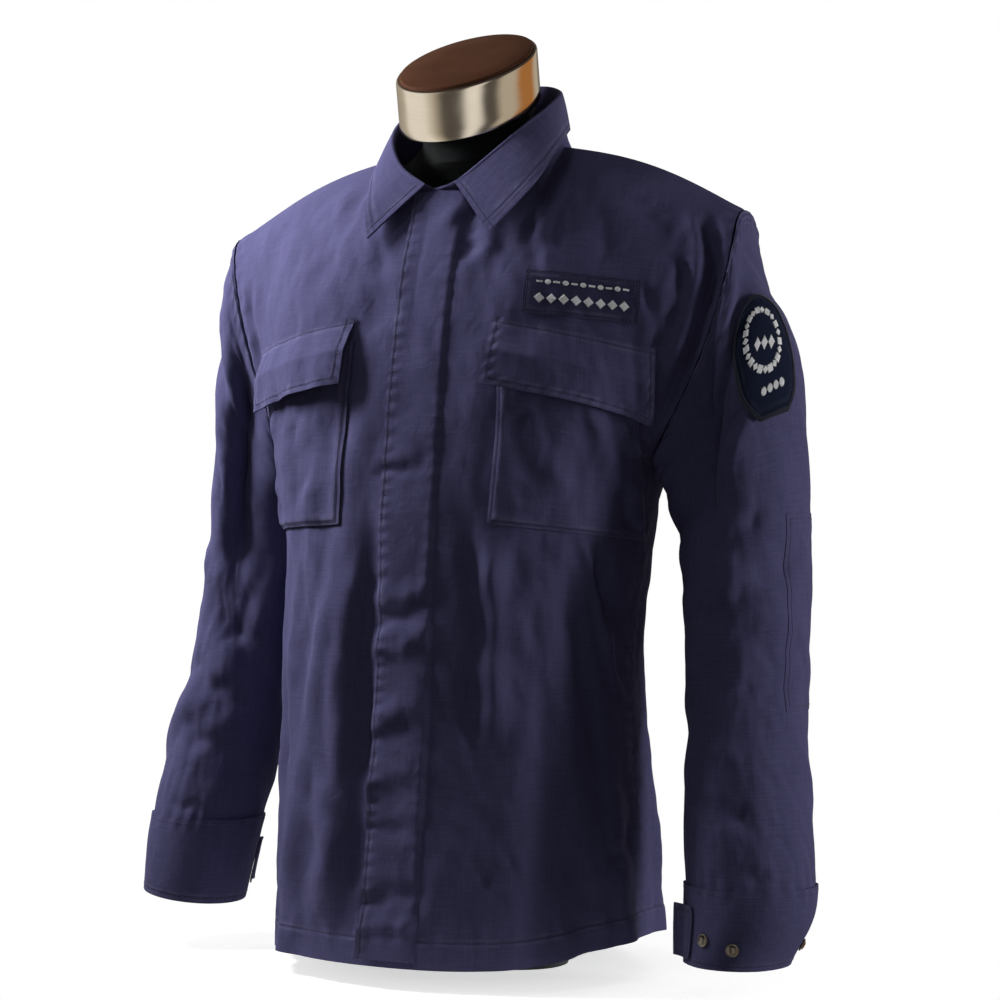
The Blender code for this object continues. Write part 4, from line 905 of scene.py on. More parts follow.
def threadMaterial(name, colour, roughness=0.62, pitch=0.0005):
    # spun thread: fine slanting ridges over Object coordinates, painted darker in their troughs as shade, with a
    # soft sheen
    material = bpy.data.materials.new(name)
    add, calc, ramp, mix, noise, bump = nodeSet(material)
    place = add("ShaderNodeTexCoord").outputs["Object"]
    turned = add("ShaderNodeMapping", {0: place, 2: (0.5, 0.3, 0.7)}).outputs[0]
    split = add("ShaderNodeSeparateXYZ", {0: turned})
    ridge = calc("SINE", calc("MULTIPLY", split.outputs[0], 2 * math.pi / pitch))
    ridge = calc("ADD", calc("MULTIPLY", ridge, 0.5), 0.5)
    # the troughs between the ridges are painted darker: painted shade
    tone = mix(ridge, shaded(colour, 0.72), shaded(colour))
    tone = mix(ramp(noise(place, 700.0, 3.0), ((0.3, 0.0), (0.8, 0.4))), tone, shaded(colour, 0.6))
    finishMaterial(add, {
        "Base Color": tone,
        "Roughness": roughness,
        "Specular IOR Level": 0.3,
        "Sheen Weight": 0.25,
        "Sheen Roughness": 0.4,
        "Normal": bump(ridge, 0.45, 0.0002),
    })
    return material


def jerseyMaterial(name):
    # stretched knit: fine columns of loops round the neck, painted darker between the loops as shade, dull black
    # with a grey bloom
    material = bpy.data.materials.new(name)
    add, calc, ramp, mix, noise, bump = nodeSet(material)
    flat, place = flatAndPlace(add)
    split = add("ShaderNodeSeparateXYZ", {0: flat})
    column = calc("SINE", calc("MULTIPLY", split.outputs[0], 2 * math.pi / 0.0011))
    loops = calc("MULTIPLY", split.outputs[1], 2 * math.pi / 0.0009)
    row = calc("SINE", calc("ADD", loops, calc("MULTIPLY", column, 1.2)))
    knit = calc("ADD", calc("MULTIPLY", calc("ADD", column, row), 0.25), 0.5)
    # darker where the knit's relief is low, between the loops: painted shade
    tone = mix(knit, (0.0035, 0.0042, 0.0045, 1.0), (0.014, 0.017, 0.018, 1.0))
    tone = mix(ramp(noise(place, 24.0, 4.0), ((0.35, 0.0), (0.75, 0.45))), tone, (0.018, 0.021, 0.022, 1.0))
    finishMaterial(add, {
        "Base Color": tone,
        "Roughness": 0.93,
        "Specular IOR Level": 0.05,
        "Sheen Weight": 0.20,
        "Sheen Roughness": 0.5,
        "Normal": bump(knit, 0.5, 0.0004),
    })
    return material


def metalMaterial(name, colour, roughness, brushed):
    # satin metal: long brush lines over the flat UV for tone, roughness and bump, faint smudges
    material = bpy.data.materials.new(name)
    add, calc, ramp, mix, noise, bump = nodeSet(material)
    flat, place = flatAndPlace(add)
    brush = noise(add("ShaderNodeMapping", {0: flat, 3: brushed}).outputs[0], 1.0, 4.0, 0.6)
    smudge = ramp(noise(place, 30.0, 4.0), ((0.45, 0.0), (0.8, 1.0)))
    rough = calc("ADD", calc("MULTIPLY", brush, 0.12), roughness - 0.06)
    finishMaterial(add, {
        "Base Color": mix(brush, shaded(colour, 0.82), shaded(colour, 1.06)),
        "Metallic": 1.0,
        "Roughness": calc("ADD", rough, calc("MULTIPLY", smudge, 0.10)),
        "Normal": bump(brush, 0.14, 0.0003),
    })
    return material


def discMaterial(name, colour):
    # satin brown paint or veneer: faint rings of tone and a cloudy lighter shade
    material = bpy.data.materials.new(name)
    add, calc, ramp, mix, noise, bump = nodeSet(material)
    flat, place = flatAndPlace(add)
    ring = noise(add("ShaderNodeMapping", {0: flat, 3: (7.0, 900.0, 1.0)}).outputs[0], 1.0, 3.0)
    tone = mix(ramp(ring, ((0.3, 0.0), (0.7, 1.0))), shaded(colour, 0.78), shaded(colour))
    tone = mix(ramp(noise(place, 34.0, 5.0), ((0.4, 0.0), (0.8, 0.5))), tone, shaded(colour, 1.35))
    finishMaterial(add, {
        "Base Color": tone,
        "Roughness": 0.5,
        "Specular IOR Level": 0.12,
        "Normal": bump(ring, 0.10, 0.0002),
    })
    return material


colours = {
    "navy": (0.068, 0.065, 0.140),
    "navyWorn": (0.170, 0.165, 0.260),
    "tape": (0.038, 0.037, 0.082),
    "patch": (0.010, 0.013, 0.030),
    "thread": (0.072, 0.069, 0.140),
    "white": (0.98, 0.98, 1.0),
    "border": (0.014, 0.018, 0.034),
    "steel": (0.78, 0.70, 0.58),
    "brown": (0.060, 0.025, 0.014),
    "snap": (0.16, 0.14, 0.12),
}
navy = clothMaterial("navyCotton", colours["navy"], colours["navyWorn"])
tapeCloth = clothMaterial("tapeTwill", colours["tape"], colours["navyWorn"], twill=True)
patchCloth = clothMaterial("patchTwill", colours["patch"], (0.05, 0.055, 0.08), twill=True)
navyThread = threadMaterial("navyThread", colours["thread"])
whiteThread = threadMaterial("whiteThread", colours["white"], 0.55, 0.0007)
borderThread = threadMaterial("borderThread", colours["border"], 0.6, 0.0009)
jersey = jerseyMaterial("blackJersey")
steel = metalMaterial("satinMetal", colours["steel"], 0.17, (9.0, 1800.0, 1.0))
snapMetal = metalMaterial("snapMetal", colours["snap"], 0.34, (1400.0, 200.0, 1.0))
brown = discMaterial("brownDisc", colours["brown"])
print("materials ready")


def halfUv(u, v, side):
    return np.stack(np.broadcast_arrays(side * u * cloth["bodyWide"], v * cloth["bodyLong"]), axis=-1)


def halfPanel(u, v, side, face):
    # points and normals of a half panel's grid; at a seam both neighbours take one direction and meet in a mitre
    points = panel(u[:, None], v[None, :], side, face)
    normals = gridNormals(points)
    facing = outward(u[:, None], v[None, :], side, face)
    normals = normals * np.sign((normals * facing).sum(-1, keepdims=True))
    top = np.full_like(u, 0.9985)
    normals[:, -1] = unit(outward(u, top, side, "front") + outward(u, top, side, "back"))
    normals[-1, v <= body["armV"]] = np.array([side, 0.0, 0.0])
    normals[0, :, 0] = 0.0
    return points, unit(normals)


def trimmed(points, gaps):
    # draws an open grid's edges in by the gaps: first and last along i, then first and last along j
    points = points.copy()
    for edge, inner, gap in ((0, 1, gaps[0]), (-1, -2, gaps[1])):
        points[edge] += unit(points[inner] - points[edge]) * gap
    for edge, inner, gap in ((0, 1, gaps[2]), (-1, -2, gaps[3])):
        points[:, edge] += unit(points[:, inner] - points[:, edge]) * gap
    return points


def bodyMarks(u, v):
    # distance from the hem's stitch line; 1 is far from any line
    hem = np.broadcast_to(v * cloth["bodyLong"] - body["hemTurn"], np.broadcast(u, v).shape)
    return {"seamA": hem, "seamB": np.ones(hem.shape)}


# distances of the stitch lines from the edges beside them
stitchIn = {
    "armhole": (0.0045, 0.0105),
    "cuff": 0.006,
    "fly": (0.0040, 0.0030),
    "pocket": (0.0030, 0.0030),  # sides and foot, top
    "flap": (0.0055, 0.0060),
    "name": (0.0020, 0.0020),
    "patch": 0.0040,
    "elbow": 0.0045,
    "tab": 0.0035,
    "collar": 0.0055,
}
halfGap = cloth["gap"] / 2
gaps = (halfGap, halfGap, 0, halfGap)
sides = ((-1, "right"), (1, "left"))
for side, word in sides:
    u = np.linspace(0, 1, body["frontGrid"][0] + 1)
    v = np.linspace(0, 1, body["frontGrid"][1] + 1)
    points, normals = halfPanel(u, v, side, "front")
    u, v = u[:, None], v[None, :]
    front = wall(
        "shirt_front_" + word, trimmed(points, gaps), navy, halfUv(u, v, side), bodyMarks(u, v),
        normals=normals,
    )
    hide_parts("front_" + word)

u = np.linspace(0, 1, body["backGrid"][0] + 1)
v = np.linspace(0, 1, body["backGrid"][1] + 1)
rightPoints, rightNormals = halfPanel(u, v, -1, "back")
leftPoints, leftNormals = halfPanel(u, v, 1, "back")
u, v = u[:, None], v[None, :]
back = wall(
    "shirt_back",
    trimmed(np.concatenate([rightPoints[::-1], leftPoints[1:]]), gaps),
    navy,
    np.concatenate([halfUv(u, v, -1)[::-1], halfUv(u, v, 1)[1:]]),
    {mark: np.concatenate([values[::-1], values[1:]]) for mark, values in bodyMarks(u, v).items()},
    normals=np.concatenate([rightNormals[::-1], leftNormals[1:]]),
)
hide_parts("back")
print("body panels made")


def sleeveUv(angle, v):
    around = angle / (2 * math.pi) * cloth["sleeveRound"]
    return np.stack(np.broadcast_arrays(around, v * cloth["sleeveLong"]), axis=-1)


for side, word in sides:
    count, rows = sleeve["grid"]
    angle = (np.arange(count) * 2 * math.pi / count)[:, None]
    v = np.linspace(0, sleeve["cuffV"] + sleeve["cuffTuck"], rows + 1)[None, :]
    inset = -cloth["layer"] * np.clip((v - sleeve["cuffV"] + 0.05) / 0.05, 0, 1)
    uv = sleeveUv(angle, v)
    near, far = (uv[..., 1] - place for place in stitchIn["armhole"])
    made = wall(
        "shirt_sleeve_" + word, sleeveSurface(angle, v, side, inset), navy, uv,
        {"seamA": near, "seamB": far}, closed=True,
    )
    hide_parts("sleeve_" + word)
    count, rows = sleeve["cuffGrid"]
    angle = (np.arange(count) * 2 * math.pi / count)[:, None]
    v = np.linspace(sleeve["cuffV"] - sleeve["cuffOver"], 1.0, rows + 1)[None, :]
    uv = sleeveUv(angle, v)
    fromEnd = (1 - v) * cloth["sleeveLong"] + 0 * uv[..., 0]
    cuff = wall(
        "shirt_cuff_" + word, sleeveSurface(angle, v, side, sleeve["cuffLift"]), navy, uv,
        {"seamA": np.ones(fromEnd.shape), "seamB": fromEnd - stitchIn["cuff"]}, closed=True,
    )
    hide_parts("cuff_" + word)
print("sleeves and cuffs made")

fly = {
    "edge": -0.0195,
    "wide": 0.060,
    "low": 0.026,
    "high": 0.744,
    "room": 0.0008,
    "grid": (30, 260),
}


def flySurface(x, z, lift):
    # the fronts' own points at x from the centre line, the right front's where x is negative
    x, z = spread(x, z)
    sides = []
    for side in (-1, 1):
        u, v = panelPlace(np.abs(x), z, side)
        sides.append(panel(u, v, side, "front", lift))
    return np.where((x < 0)[..., None], *sides)


def flyLift(x, z):
    # a layer up, sunk where its one edge is sewn flat, the other standing off low down, with stitch puckers
    fromEdge = x - fly["edge"]
    toSeam = fly["edge"] + fly["wide"] - x
    stand = 0.0046 * smoothStep((0.34 - z) / 0.12) * np.exp(-fromEdge / 0.010)
    sunk = -(cloth["layer"] + fly["room"] - 0.0002) * smoothStep(1 - toSeam / 0.007)
    waves = pucker("flyEdge", z, fromEdge - 0.006) + pucker("flySeam", z, toSeam - 0.003)
    return cloth["layer"] + fly["room"] + stand + sunk + waves


x = np.linspace(fly["edge"], fly["edge"] + fly["wide"], fly["grid"][0] + 1)[:, None]
z = np.linspace(fly["low"], fly["high"], fly["grid"][1] + 1)[None, :]
x, z = np.broadcast_arrays(x, z)
marks = {"seamA": x - fly["edge"] - stitchIn["fly"][0], "seamB": np.ones(x.shape)}
uv = np.stack([x, z], axis=-1)
flyStrip = wall("shirt_fly", flySurface(x, z, flyLift(x, z)), navy, uv, marks)
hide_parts("fly_strip")

sheetNames = "side inTopX inTopZ outTopX outTopZ inLowX inLowZ outLowX outLowZ wide high"
sheets = {
    "pocket_right": (-1, 0.062, 0.602, 0.190, 0.582, 0.064, 0.427, 0.183, 0.420, 0.135, 0.170),
    "pocket_left": (1, 0.090, 0.600, 0.210, 0.574, 0.088, 0.428, 0.194, 0.411, 0.140, 0.170),
    "flap_right": (-1, 0.065, 0.624, 0.207, 0.600, 0.067, 0.559, 0.184, 0.539, 0.152, 0.065),
    "flap_left": (1, 0.085, 0.621, 0.225, 0.590, 0.080, 0.556, 0.212, 0.524, 0.158, 0.067),
    "name_tape": (1, 0.112, 0.664, 0.211, 0.652, 0.112, 0.624, 0.211, 0.612, 0.102, 0.040),
}
pocket = {"room": 0.0006, "stand": 0.0020, "fold": 0.0005, "sag": 0.0020, "grid": (70, 84)}
flap = {
    "room": 0.0006,
    "stand": 0.0085,
    "drop": 0.0030,
    "wave": 0.0034,
    "ripple": 0.0009,
    "curl": 0.0036,
    "grid": (76, 34),
}
tape = {"room": 0.0008, "wave": 0.0004, "grid": (60, 26)}


def sheetPlace(name, across, down):
    # u and v between a sheet's four corners: u runs evenly, and v is found for an even run of height
    row = dict(zip(sheetNames.split(), sheets[name]))
    x = np.array([row["inTopX"], row["outTopX"], row["inLowX"], row["outLowX"]])
    z = np.array([row["inTopZ"], row["outTopZ"], row["inLowZ"], row["outLowZ"]])
    cornerU, _ = panelPlace(x, z, row["side"])
    weights = ((1 - across) * (1 - down), across * (1 - down), (1 - across) * down, across * down)
    u = sum(weight * corner for weight, corner in zip(weights, cornerU))
    height = sum(weight * corner for weight, corner in zip(weights, z))
    v = np.clip((height - body["low"]) / body["high"], 0.02, 0.98)
    for _ in range(10):
        here = smoothPanel(u, v, row["side"], "front")[..., 2]
        rise = (smoothPanel(u, v + 1e-4, row["side"], "front")[..., 2] - here) / 1e-4
        v = np.clip(v + (height - here) / rise, 0.0, 0.999)
    return u, v


def onSheet(name, across, down, lift, detail=1.0):
    u, v = sheetPlace(name, across, down)
    return panel(u, v, sheets[name][0], "front", lift, detail)


def sheetEdge(name, across, down):
    # distance in metres from the sides and foot of a sheet
    wide, high = sheets[name][-2:]
    return np.minimum(np.minimum(across, 1 - across) * wide, (1 - down) * high)


# metres across and down from a pocket's upper inner corner, as the body's creases
pocketCreases = {
    1: (
        (0.080, 0.050, 0.128, 0.125, 0.010, 0.013, 0.0036),
        (0.112, 0.120, 0.122, 0.166, 0.002, 0.007, -0.0040),
        (0.020, 0.060, 0.030, 0.150, 0.004, 0.010, -0.0020),
        (0.052, 0.070, 0.046, 0.164, 0.003, 0.012, 0.0018),
    ),
    -1: (
        (0.060, 0.060, 0.050, 0.150, 0.006, 0.012, -0.0022),
        (0.096, 0.050, 0.108, 0.160, 0.005, 0.011, 0.0024),
        (0.022, 0.080, 0.034, 0.165, 0.003, 0.009, 0.0018),
        (0.118, 0.130, 0.080, 0.166, 0.004, 0.008, -0.0018),
    ),
}


def pocketLift(name, across, down):
    # bellows pocket: sewn edge, a fold that stands a few millimetres, a slack face with listed creases
    wide, high = sheets[name][-2:]
    side = sheets[name][0]
    x, y = across * wide, down * high
    edge = np.minimum(np.minimum(x, wide - x), high - y)
    stand = pocket["stand"] * smoothStep(edge / 0.006) * smoothStep(down / 0.12 + 0.3)
    fold = pocket["fold"] * np.exp(-(((edge - 0.006) / 0.003) ** 2))
    sag = pocket["sag"] * np.sin(np.clip(down, 0, 1) * math.pi) * np.sin(across * math.pi)
    rows = pocketCreases[side]
    creases = sum(crease(x, y, row, 3.0 + number) for number, row in enumerate(rows))
    slack = (creases + 0.6 * rumple(x, y, 41 + side, 0.3)) * smoothStep(edge / 0.010)
    return cloth["layer"] + pocket["room"] + stand + fold + sag + slack


def flapLift(name, across, down):
    # flap: sewn along its top, standing off below in shallow waves, its inner corner curling up
    wide, high = sheets[name][-2:]
    side = sheets[name][0]
    wave = flap["wave"] * np.sin(across * 8.4 - 1.2) * down**2
    wave = wave + flap["ripple"] * np.sin(across * 21.0 + side) * down**3
    stand = (cloth["layer"] + flap["stand"]) * np.clip((down - 0.08) * 2.4, 0, 1)
    corner = flap["curl"] * smoothStep((0.30 - across) / 0.30) * smoothStep((down - 0.35) / 0.65)
    soft = 0.5 * rumple(across * wide, down * high, 51 + side, 0.2) * smoothStep(down / 0.2)
    waves = pucker("flap", across * wide + down * high, sheetEdge(name, across, down) - 0.006)
    return cloth["layer"] + flap["room"] + stand + flap["drop"] * down**2 + wave + corner + soft + waves


def tapeLift(name, across, down):
    return cloth["layer"] + tape["room"] + tape["wave"] * np.sin(across * 17.0) * np.sin(down * 3.0)


sheetLifts = {"pocket": pocketLift, "flap": flapLift, "name": tapeLift}


def sheetSurface(name, across, down):
    return onSheet(name, across, down, sheetLifts[name.split("_")[0]](name, across, down))


def makeSheet(name, grid, finish):
    across = np.linspace(0, 1, grid[0] + 1)[:, None]
    down = np.linspace(0, 1, grid[1] + 1)[None, :]
    across, down = np.broadcast_arrays(across, down)
    wide, high = sheets[name][-2:]
    inset, topInset = stitchIn[name.split("_")[0]]
    marks = {"seamA": sheetEdge(name, across, down) - inset, "seamB": down * high - topInset}
    uv = np.stack([across * wide, -down * high], axis=-1)
    made = wall("shirt_" + name, sheetSurface(name, across, down), finish, uv, marks)
    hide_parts(name)


for side, word in sides:
    makeSheet("pocket_" + word, pocket["grid"], navy)
    makeSheet("flap_" + word, flap["grid"], navy)
makeSheet("name_tape", tape["grid"], tapeCloth)
print("fly, pockets, flaps and tape made")

patch = {"half": (0.037, 0.051), "place": (37, 0.230), "room": 0.0010, "grid": (44, 60), "curl": 0.0030}
elbow = {
    "half": (0.074, 0.088),
    "place": (318, 0.545),
    "lift": 0.0014,
    "sink": 0.0008,
    "sewn": 0.0003,  # how far its stitches lie below its face
    "grid": (70, 84),
}
tab = {
    "half": (0.014, 0.022),
    "place": {1: (138, 0.940), -1: (222, 0.940)},
    "room": 0.0010,
    "stand": 0.0070,
    "grid": (28, 40),
}


def sleeveLocal(side, place, across, along, lift, detail=1.0):
    # metres across and along from a place on the sleeve, turned into angle and v by the stretch there
    angle, v = math.radians(place[0]), place[1]
    step = 1e-3
    spot = smoothSleeve(np.array([angle, angle + step, angle]), np.array([v, v, v + step]), side)
    perAngle = np.linalg.norm(spot[1] - spot[0]) / step
    perV = np.linalg.norm(spot[2] - spot[0]) / step
    return sleeveSurface(angle + across / perAngle, v + along / perV, side, lift, detail)


def shieldWidth(along):
    # rounded top and sides that close in steadily to the foot, as a share of the full half width
    top = np.clip(1 - np.clip(-along, 0, 1) ** 2.5, 0.0, 1.0) ** 0.45
    foot = 1 - 0.58 * np.clip(along, 0, 1) ** 3.0
    return np.maximum(top, 0.12) * foot


def patchSurface(x, z):
    # on the sleeve, its foot curling away
    across, along = x / patch["half"][0], z / patch["half"][1]
    curl = patch["curl"] * smoothStep((along - 0.50) / 0.5) * (0.6 - 0.4 * across)
    return sleeveLocal(1, patch["place"], x, z, cloth["layer"] + patch["room"] + curl, 0.55)


def elbowSurface(side, x, z):
    # just over the sleeve, its edges sinking into it
    far = np.maximum(np.abs(x / elbow["half"][0]), np.abs(z / elbow["half"][1]))
    return sleeveLocal(side, elbow["place"], x, z, elbow["lift"] - elbow["sink"] * far**10)


def tabSurface(side, x, z, width=1.0):
    # its outer end standing off the cuff
    stand = tab["stand"] * np.clip(x / tab["half"][0] / width, 0, 1) ** 1.5
    return sleeveLocal(side, tab["place"][side], x, z, cloth["layer"] + tab["room"] + stand)


def plainWidth(along):
    return 1 - 0.0 * along


def tabWidth(along):
    # the tab's sides close in a little at its rounded corners
    return 1 - 0.10 * np.clip(np.abs(along) - 0.8, 0, 1) / 0.2


def sleeveSheet(name, settings, finish, width, surface, inset):
    # a sheet sewn to a sleeve, x across and z down it from its middle
    half, grid = settings["half"], settings["grid"]
    across = np.linspace(-1, 1, grid[0] + 1)[:, None]
    along = np.linspace(-1, 1, grid[1] + 1)[None, :]
    across, along = np.broadcast_arrays(across, along)
    x, z = across * width(along) * half[0], along * half[1]
    edge = np.minimum((1 - np.abs(across)) * half[0] * width(along), (1 - np.abs(along)) * half[1])
    noLine = np.ones(edge.shape)
    marks = {"seamA": edge - inset if inset else noLine, "seamB": noLine}
    made = wall("shirt_" + name, surface(x, z), finish, np.stack([x, z], axis=-1), marks)
    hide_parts(name)


sleeveSheet("shoulder_patch", patch, patchCloth, shieldWidth, patchSurface, stitchIn["patch"])
for side, word in sides:
    onElbow = functools.partial(elbowSurface, side)
    sleeveSheet("elbow_" + word, elbow, navy, plainWidth, onElbow, 0)
    onTab = lambda x, z: tabSurface(side, x, z, tabWidth(z / tab["half"][1]))
    sleeveSheet("cuff_tab_" + word, tab, navy, tabWidth, onTab, stitchIn["tab"])
print("patch, elbow pieces and cuff tabs made")

collar = {
    "roll": 0.0017,  # half the width of the rounded fold
    "seat": -0.0008,
    "bulge": 0.004,
    "split": 0.58,
    "rollFrom": 0.9,  # the shares along it where the roll starts and ends
    "rollTo": 1.1,
    "grid": 150,
    "thick": 0.0020,
    "halfRound": 0.23,
}
leaves = table(
    "a foldRight foldLeft foldY foldZ edgeRight edgeLeft edgeY edgeZ",
    (
        (0.00, 0.0060, 0.0265, -0.0830, 0.7520, 0.0580, 0.0730, -0.1040, 0.7010),
        (0.18, 0.0400, 0.0480, -0.0680, 0.7740, 0.0700, 0.1030, -0.0840, 0.7380),
        (0.38, 0.0680, 0.0700, -0.0350, 0.8060, 0.0840, 0.1090, -0.0460, 0.7720),
        (0.58, 0.0785, 0.0785, 0.0100, 0.8340, 0.0920, 0.0990, 0.0060, 0.8020),
        (0.78, 0.0660, 0.0660, 0.0560, 0.8560, 0.0740, 0.0730, 0.0640, 0.8180),
        (0.90, 0.0380, 0.0380, 0.0770, 0.8650, 0.0430, 0.0420, 0.0930, 0.8190),
        (1.00, 0.0000, 0.0000, 0.0840, 0.8670, 0.0000, 0.0000, 0.1030, 0.8190),
    ),
)


def collarSurface(a, s, side):
    # stand from the neckline (s 0) to the fold (1), a half circle over it, and the leaf to its edge (2)
    word = "Left" if side > 0 else "Right"
    fold = np.stack([spline(a, leaves, "a", key) for key in ("fold" + word, "foldY", "foldZ")], axis=-1)
    edge = np.stack([spline(a, leaves, "a", key) for key in ("edge" + word, "edgeY", "edgeZ")], axis=-1)
    base = collarBase(a)
    out = unit((edge - fold) * np.array([1.0, 1.0, 0.0]))
    up = np.array([0.0, 0.0, 1.0])
    roll = collar["roll"] * smoothStep(a / 0.12 + 0.25)[..., None]
    top = fold - up * roll
    rollFrom, rollTo = collar["rollFrom"], collar["rollTo"]
    stand = base + (top - base) * np.clip(s / rollFrom, 0, 1)[..., None]
    turn = np.clip((s - rollFrom) / 0.2, 0, 1)[..., None] * math.pi
    arc = top + out * roll * (1 - np.cos(turn)) + up * roll * np.sin(turn)
    leaf = np.clip((s - rollTo) / 0.9, 0, 1)[..., None]
    leafStart = top + out * roll * 2
    rise = np.sin(leaf * math.pi) * collar["bulge"] * np.clip(a, 0.1, 1.0)[..., None]
    wave = 0.0006 * np.sin(a * 24.0 + side)[..., None] * leaf
    down = leafStart + (edge + out * 0.0004 - leafStart) * leaf + up * rise + out * wave
    points = np.where((s <= rollFrom)[..., None], stand, np.where((s <= rollTo)[..., None], arc, down))
    return points * mirror(side)


def collarBase(a):
    front = topEdge(np.clip(a / collar["split"], 0, 1) * body["neckU"], 1, "front")
    back = topEdge(np.clip((1 - a) / (1 - collar["split"]), 0, 1) * body["neckU"], 1, "back")
    return np.where((a <= collar["split"])[..., None], front, back) + np.array([0.0, 0.0, collar["seat"]])


a = np.linspace(0.0, 1.0, collar["grid"] // 2 + 1)
s = np.concatenate([np.linspace(0, 0.9, 14), np.linspace(0.9, 1.1, 13)[1:], np.linspace(1.1, 2.0, 40)[1:]])
gridA, gridS = np.meshgrid(a, s, indexing="ij")
right = collarSurface(gridA, gridS, -1)
left = collarSurface(gridA, gridS, 1)
points = np.concatenate([right, left[-2::-1]])
girth = np.concatenate([gridA, 2 - gridA[-2::-1]]) * collar["halfRound"]
long = reachAlong(right[len(a) // 2])
uv = np.stack([girth, np.broadcast_to(long[None, :], girth.shape)], axis=-1)
fromEnd = np.minimum(girth, 2 * collar["halfRound"] - girth) + 0.0015
leafStart = long[26]  # the leaf begins where the roll's last row ends
marks = {
    "seamA": np.broadcast_to(long[-1] - long[None, :], girth.shape) - stitchIn["collar"],
    "seamB": np.where(uv[..., 1] > leafStart, fromEnd - 0.0070, 1.0),
}
collarPiece = wall("shirt_collar", points, navy, uv, marks, thick=collar["thick"])
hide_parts("collar")
print("collar made")

form = {"sides": 112, "rows": 150}
formRings = table(
    "z midY halfX halfY lean power",
    (
        (0.000, 0.000, 0.100, 0.058, 0.0, 0.90),
        (0.012, 0.000, 0.106, 0.062, 0.0, 0.90),
        (0.060, -0.006, 0.130, 0.084, 0.0, 0.92),
        (0.140, -0.008, 0.147, 0.102, 0.0, 0.94),
        (0.240, -0.006, 0.140, 0.096, 0.0, 0.96),
        (0.320, -0.006, 0.136, 0.092, 0.0, 0.96),
        (0.420, -0.004, 0.152, 0.104, 0.0, 0.92),
        (0.510, 0.002, 0.166, 0.106, 0.0, 0.88),
        (0.590, 0.008, 0.172, 0.098, 0.0, 0.86),
        (0.650, 0.014, 0.190, 0.080, 0.0, 0.88),
        (0.690, 0.016, 0.214, 0.058, 0.0, 0.92),
        (0.7316, 0.016, 0.216, 0.040, 0.0, 0.98),
        (0.7556, 0.015, 0.180, 0.036, 3.0, 1.00),
        (0.7726, 0.014, 0.126, 0.036, 9.0, 1.00),
        (0.7885, 0.012, 0.080, 0.042, 17.0, 1.00),
        (0.802, 0.012, 0.063, 0.050, 25.0, 1.00),
        (0.8406, 0.0149, 0.060, 0.055, 31.0, 1.00),
    ),
)


def capped(rings):
    # quads between the rings, a pole in the middle of each end
    count, sides = rings.shape[:2]
    points = np.concatenate([rings.reshape(-1, 3), rings[:1].mean(axis=1), rings[-1:].mean(axis=1)])
    index = np.arange(count * sides).reshape(count, sides)
    near, far = index[:-1], index[1:]
    quads = np.stack([near, np.roll(near, -1, 1), np.roll(far, -1, 1), far], axis=-1).reshape(-1, 4)
    low = np.stack([np.roll(index[0], -1), index[0], np.full(sides, count * sides)], axis=-1)
    high = np.stack([index[-1], np.roll(index[-1], -1), np.full(sides, count * sides + 1)], axis=-1)
    return points, quads.tolist() + low.tolist() + high.tolist()


def ringSolid(name, rings, finish, uvOf, sharp=0.7):
    # closed solid from rings of points, its flat UV from a function of each point's place
    points, faces = capped(rings)
    mesh = bpy.data.meshes.new(name)
    mesh.from_pydata(points.tolist(), [], faces)
    mesh.update()
    turnOutward(mesh, points)
    flatUv(mesh, uvOf(points))
    return finished(name, mesh, finish, sharp)


def spun(profile, count):
    # rings round the z axis from pairs of radius and height
    turn = np.arange(count) * 2 * math.pi / count
    radius, high = np.array(profile).T[:, :, None]
    return np.stack([radius * np.cos(turn), radius * np.sin(turn), high + 0 * turn], axis=-1)


height = np.concatenate([np.linspace(0, 0.72, form["rows"] - 60), np.linspace(0.724, 0.8406, 60)])
turn = np.arange(form["sides"]) * 2 * math.pi / form["sides"]
names = ("midY", "halfX", "halfY", "lean", "power")
row = {name: spline(height, formRings, "z", name)[:, None] for name in names}
lean = np.radians(row["lean"])
alongX = row["halfX"] * np.sign(np.cos(turn)) * np.abs(np.cos(turn)) ** row["power"]
alongY = row["halfY"] * np.sign(np.sin(turn)) * np.abs(np.sin(turn)) ** row["power"]
tiltedY, tiltedZ = row["midY"] + alongY * np.cos(lean), height[:, None] + alongY * np.sin(lean)
rings = np.stack([alongX, tiltedY, tiltedZ], axis=-1)
formPiece = ringSolid(
    "dress_form_body", rings, jersey,
    lambda p: np.stack([np.arctan2(np.abs(p[:, 0]), -p[:, 1]) * 0.10, p[:, 2]], axis=-1),
)
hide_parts("dress_form")

cap = {
    "base": (-0.002, 0.0147, 0.8410),
    "lean": math.radians(31.0),
    "radius": 0.069,
    "height": 0.045,
    "wide": 1.04,
    "shift": (0.0, -0.0150, -0.0100),
    "sides": 128,
    "profile": (
        (0.0590, 0.0003), (0.0670, 0.0000), (0.0682, 0.0004), (0.0690, 0.0014), (0.0690, 0.0100), (0.0690, 0.0200),
        (0.0690, 0.0300), (0.0690, 0.0418), (0.0687, 0.0434), (0.0679, 0.0444), (0.0668, 0.0449), (0.0660, 0.0446),
        (0.0656, 0.0440), (0.0600, 0.0438),
    ),
    "disc": (
        (0.0600, 0.0441), (0.0652, 0.0441), (0.0653, 0.0462), (0.0648, 0.0470), (0.0636, 0.0475), (0.0400, 0.0478),
    ),
}


capCos, capSin = math.cos(cap["lean"]), math.sin(cap["lean"])
capTurn = np.array([[1, 0, 0], [0, capCos, -capSin], [0, capSin, capCos]])


def capPlace(points):
    # from the cap's own axis to the neck's lean, its foot moved forward and down to stand it upright
    widened = points * np.array([cap["wide"], cap["wide"], 1.0])
    low = 1 - points[..., 2:] / cap["height"]
    return widened @ capTurn.T + np.array(cap["base"]) + low * np.array(cap["shift"])


def capUv(points):
    # round the axis and along it
    local = (points - np.array(cap["base"])) @ capTurn
    return np.stack([np.arctan2(np.abs(local[:, 0]), local[:, 1]) * cap["radius"], local[:, 2]], axis=-1)


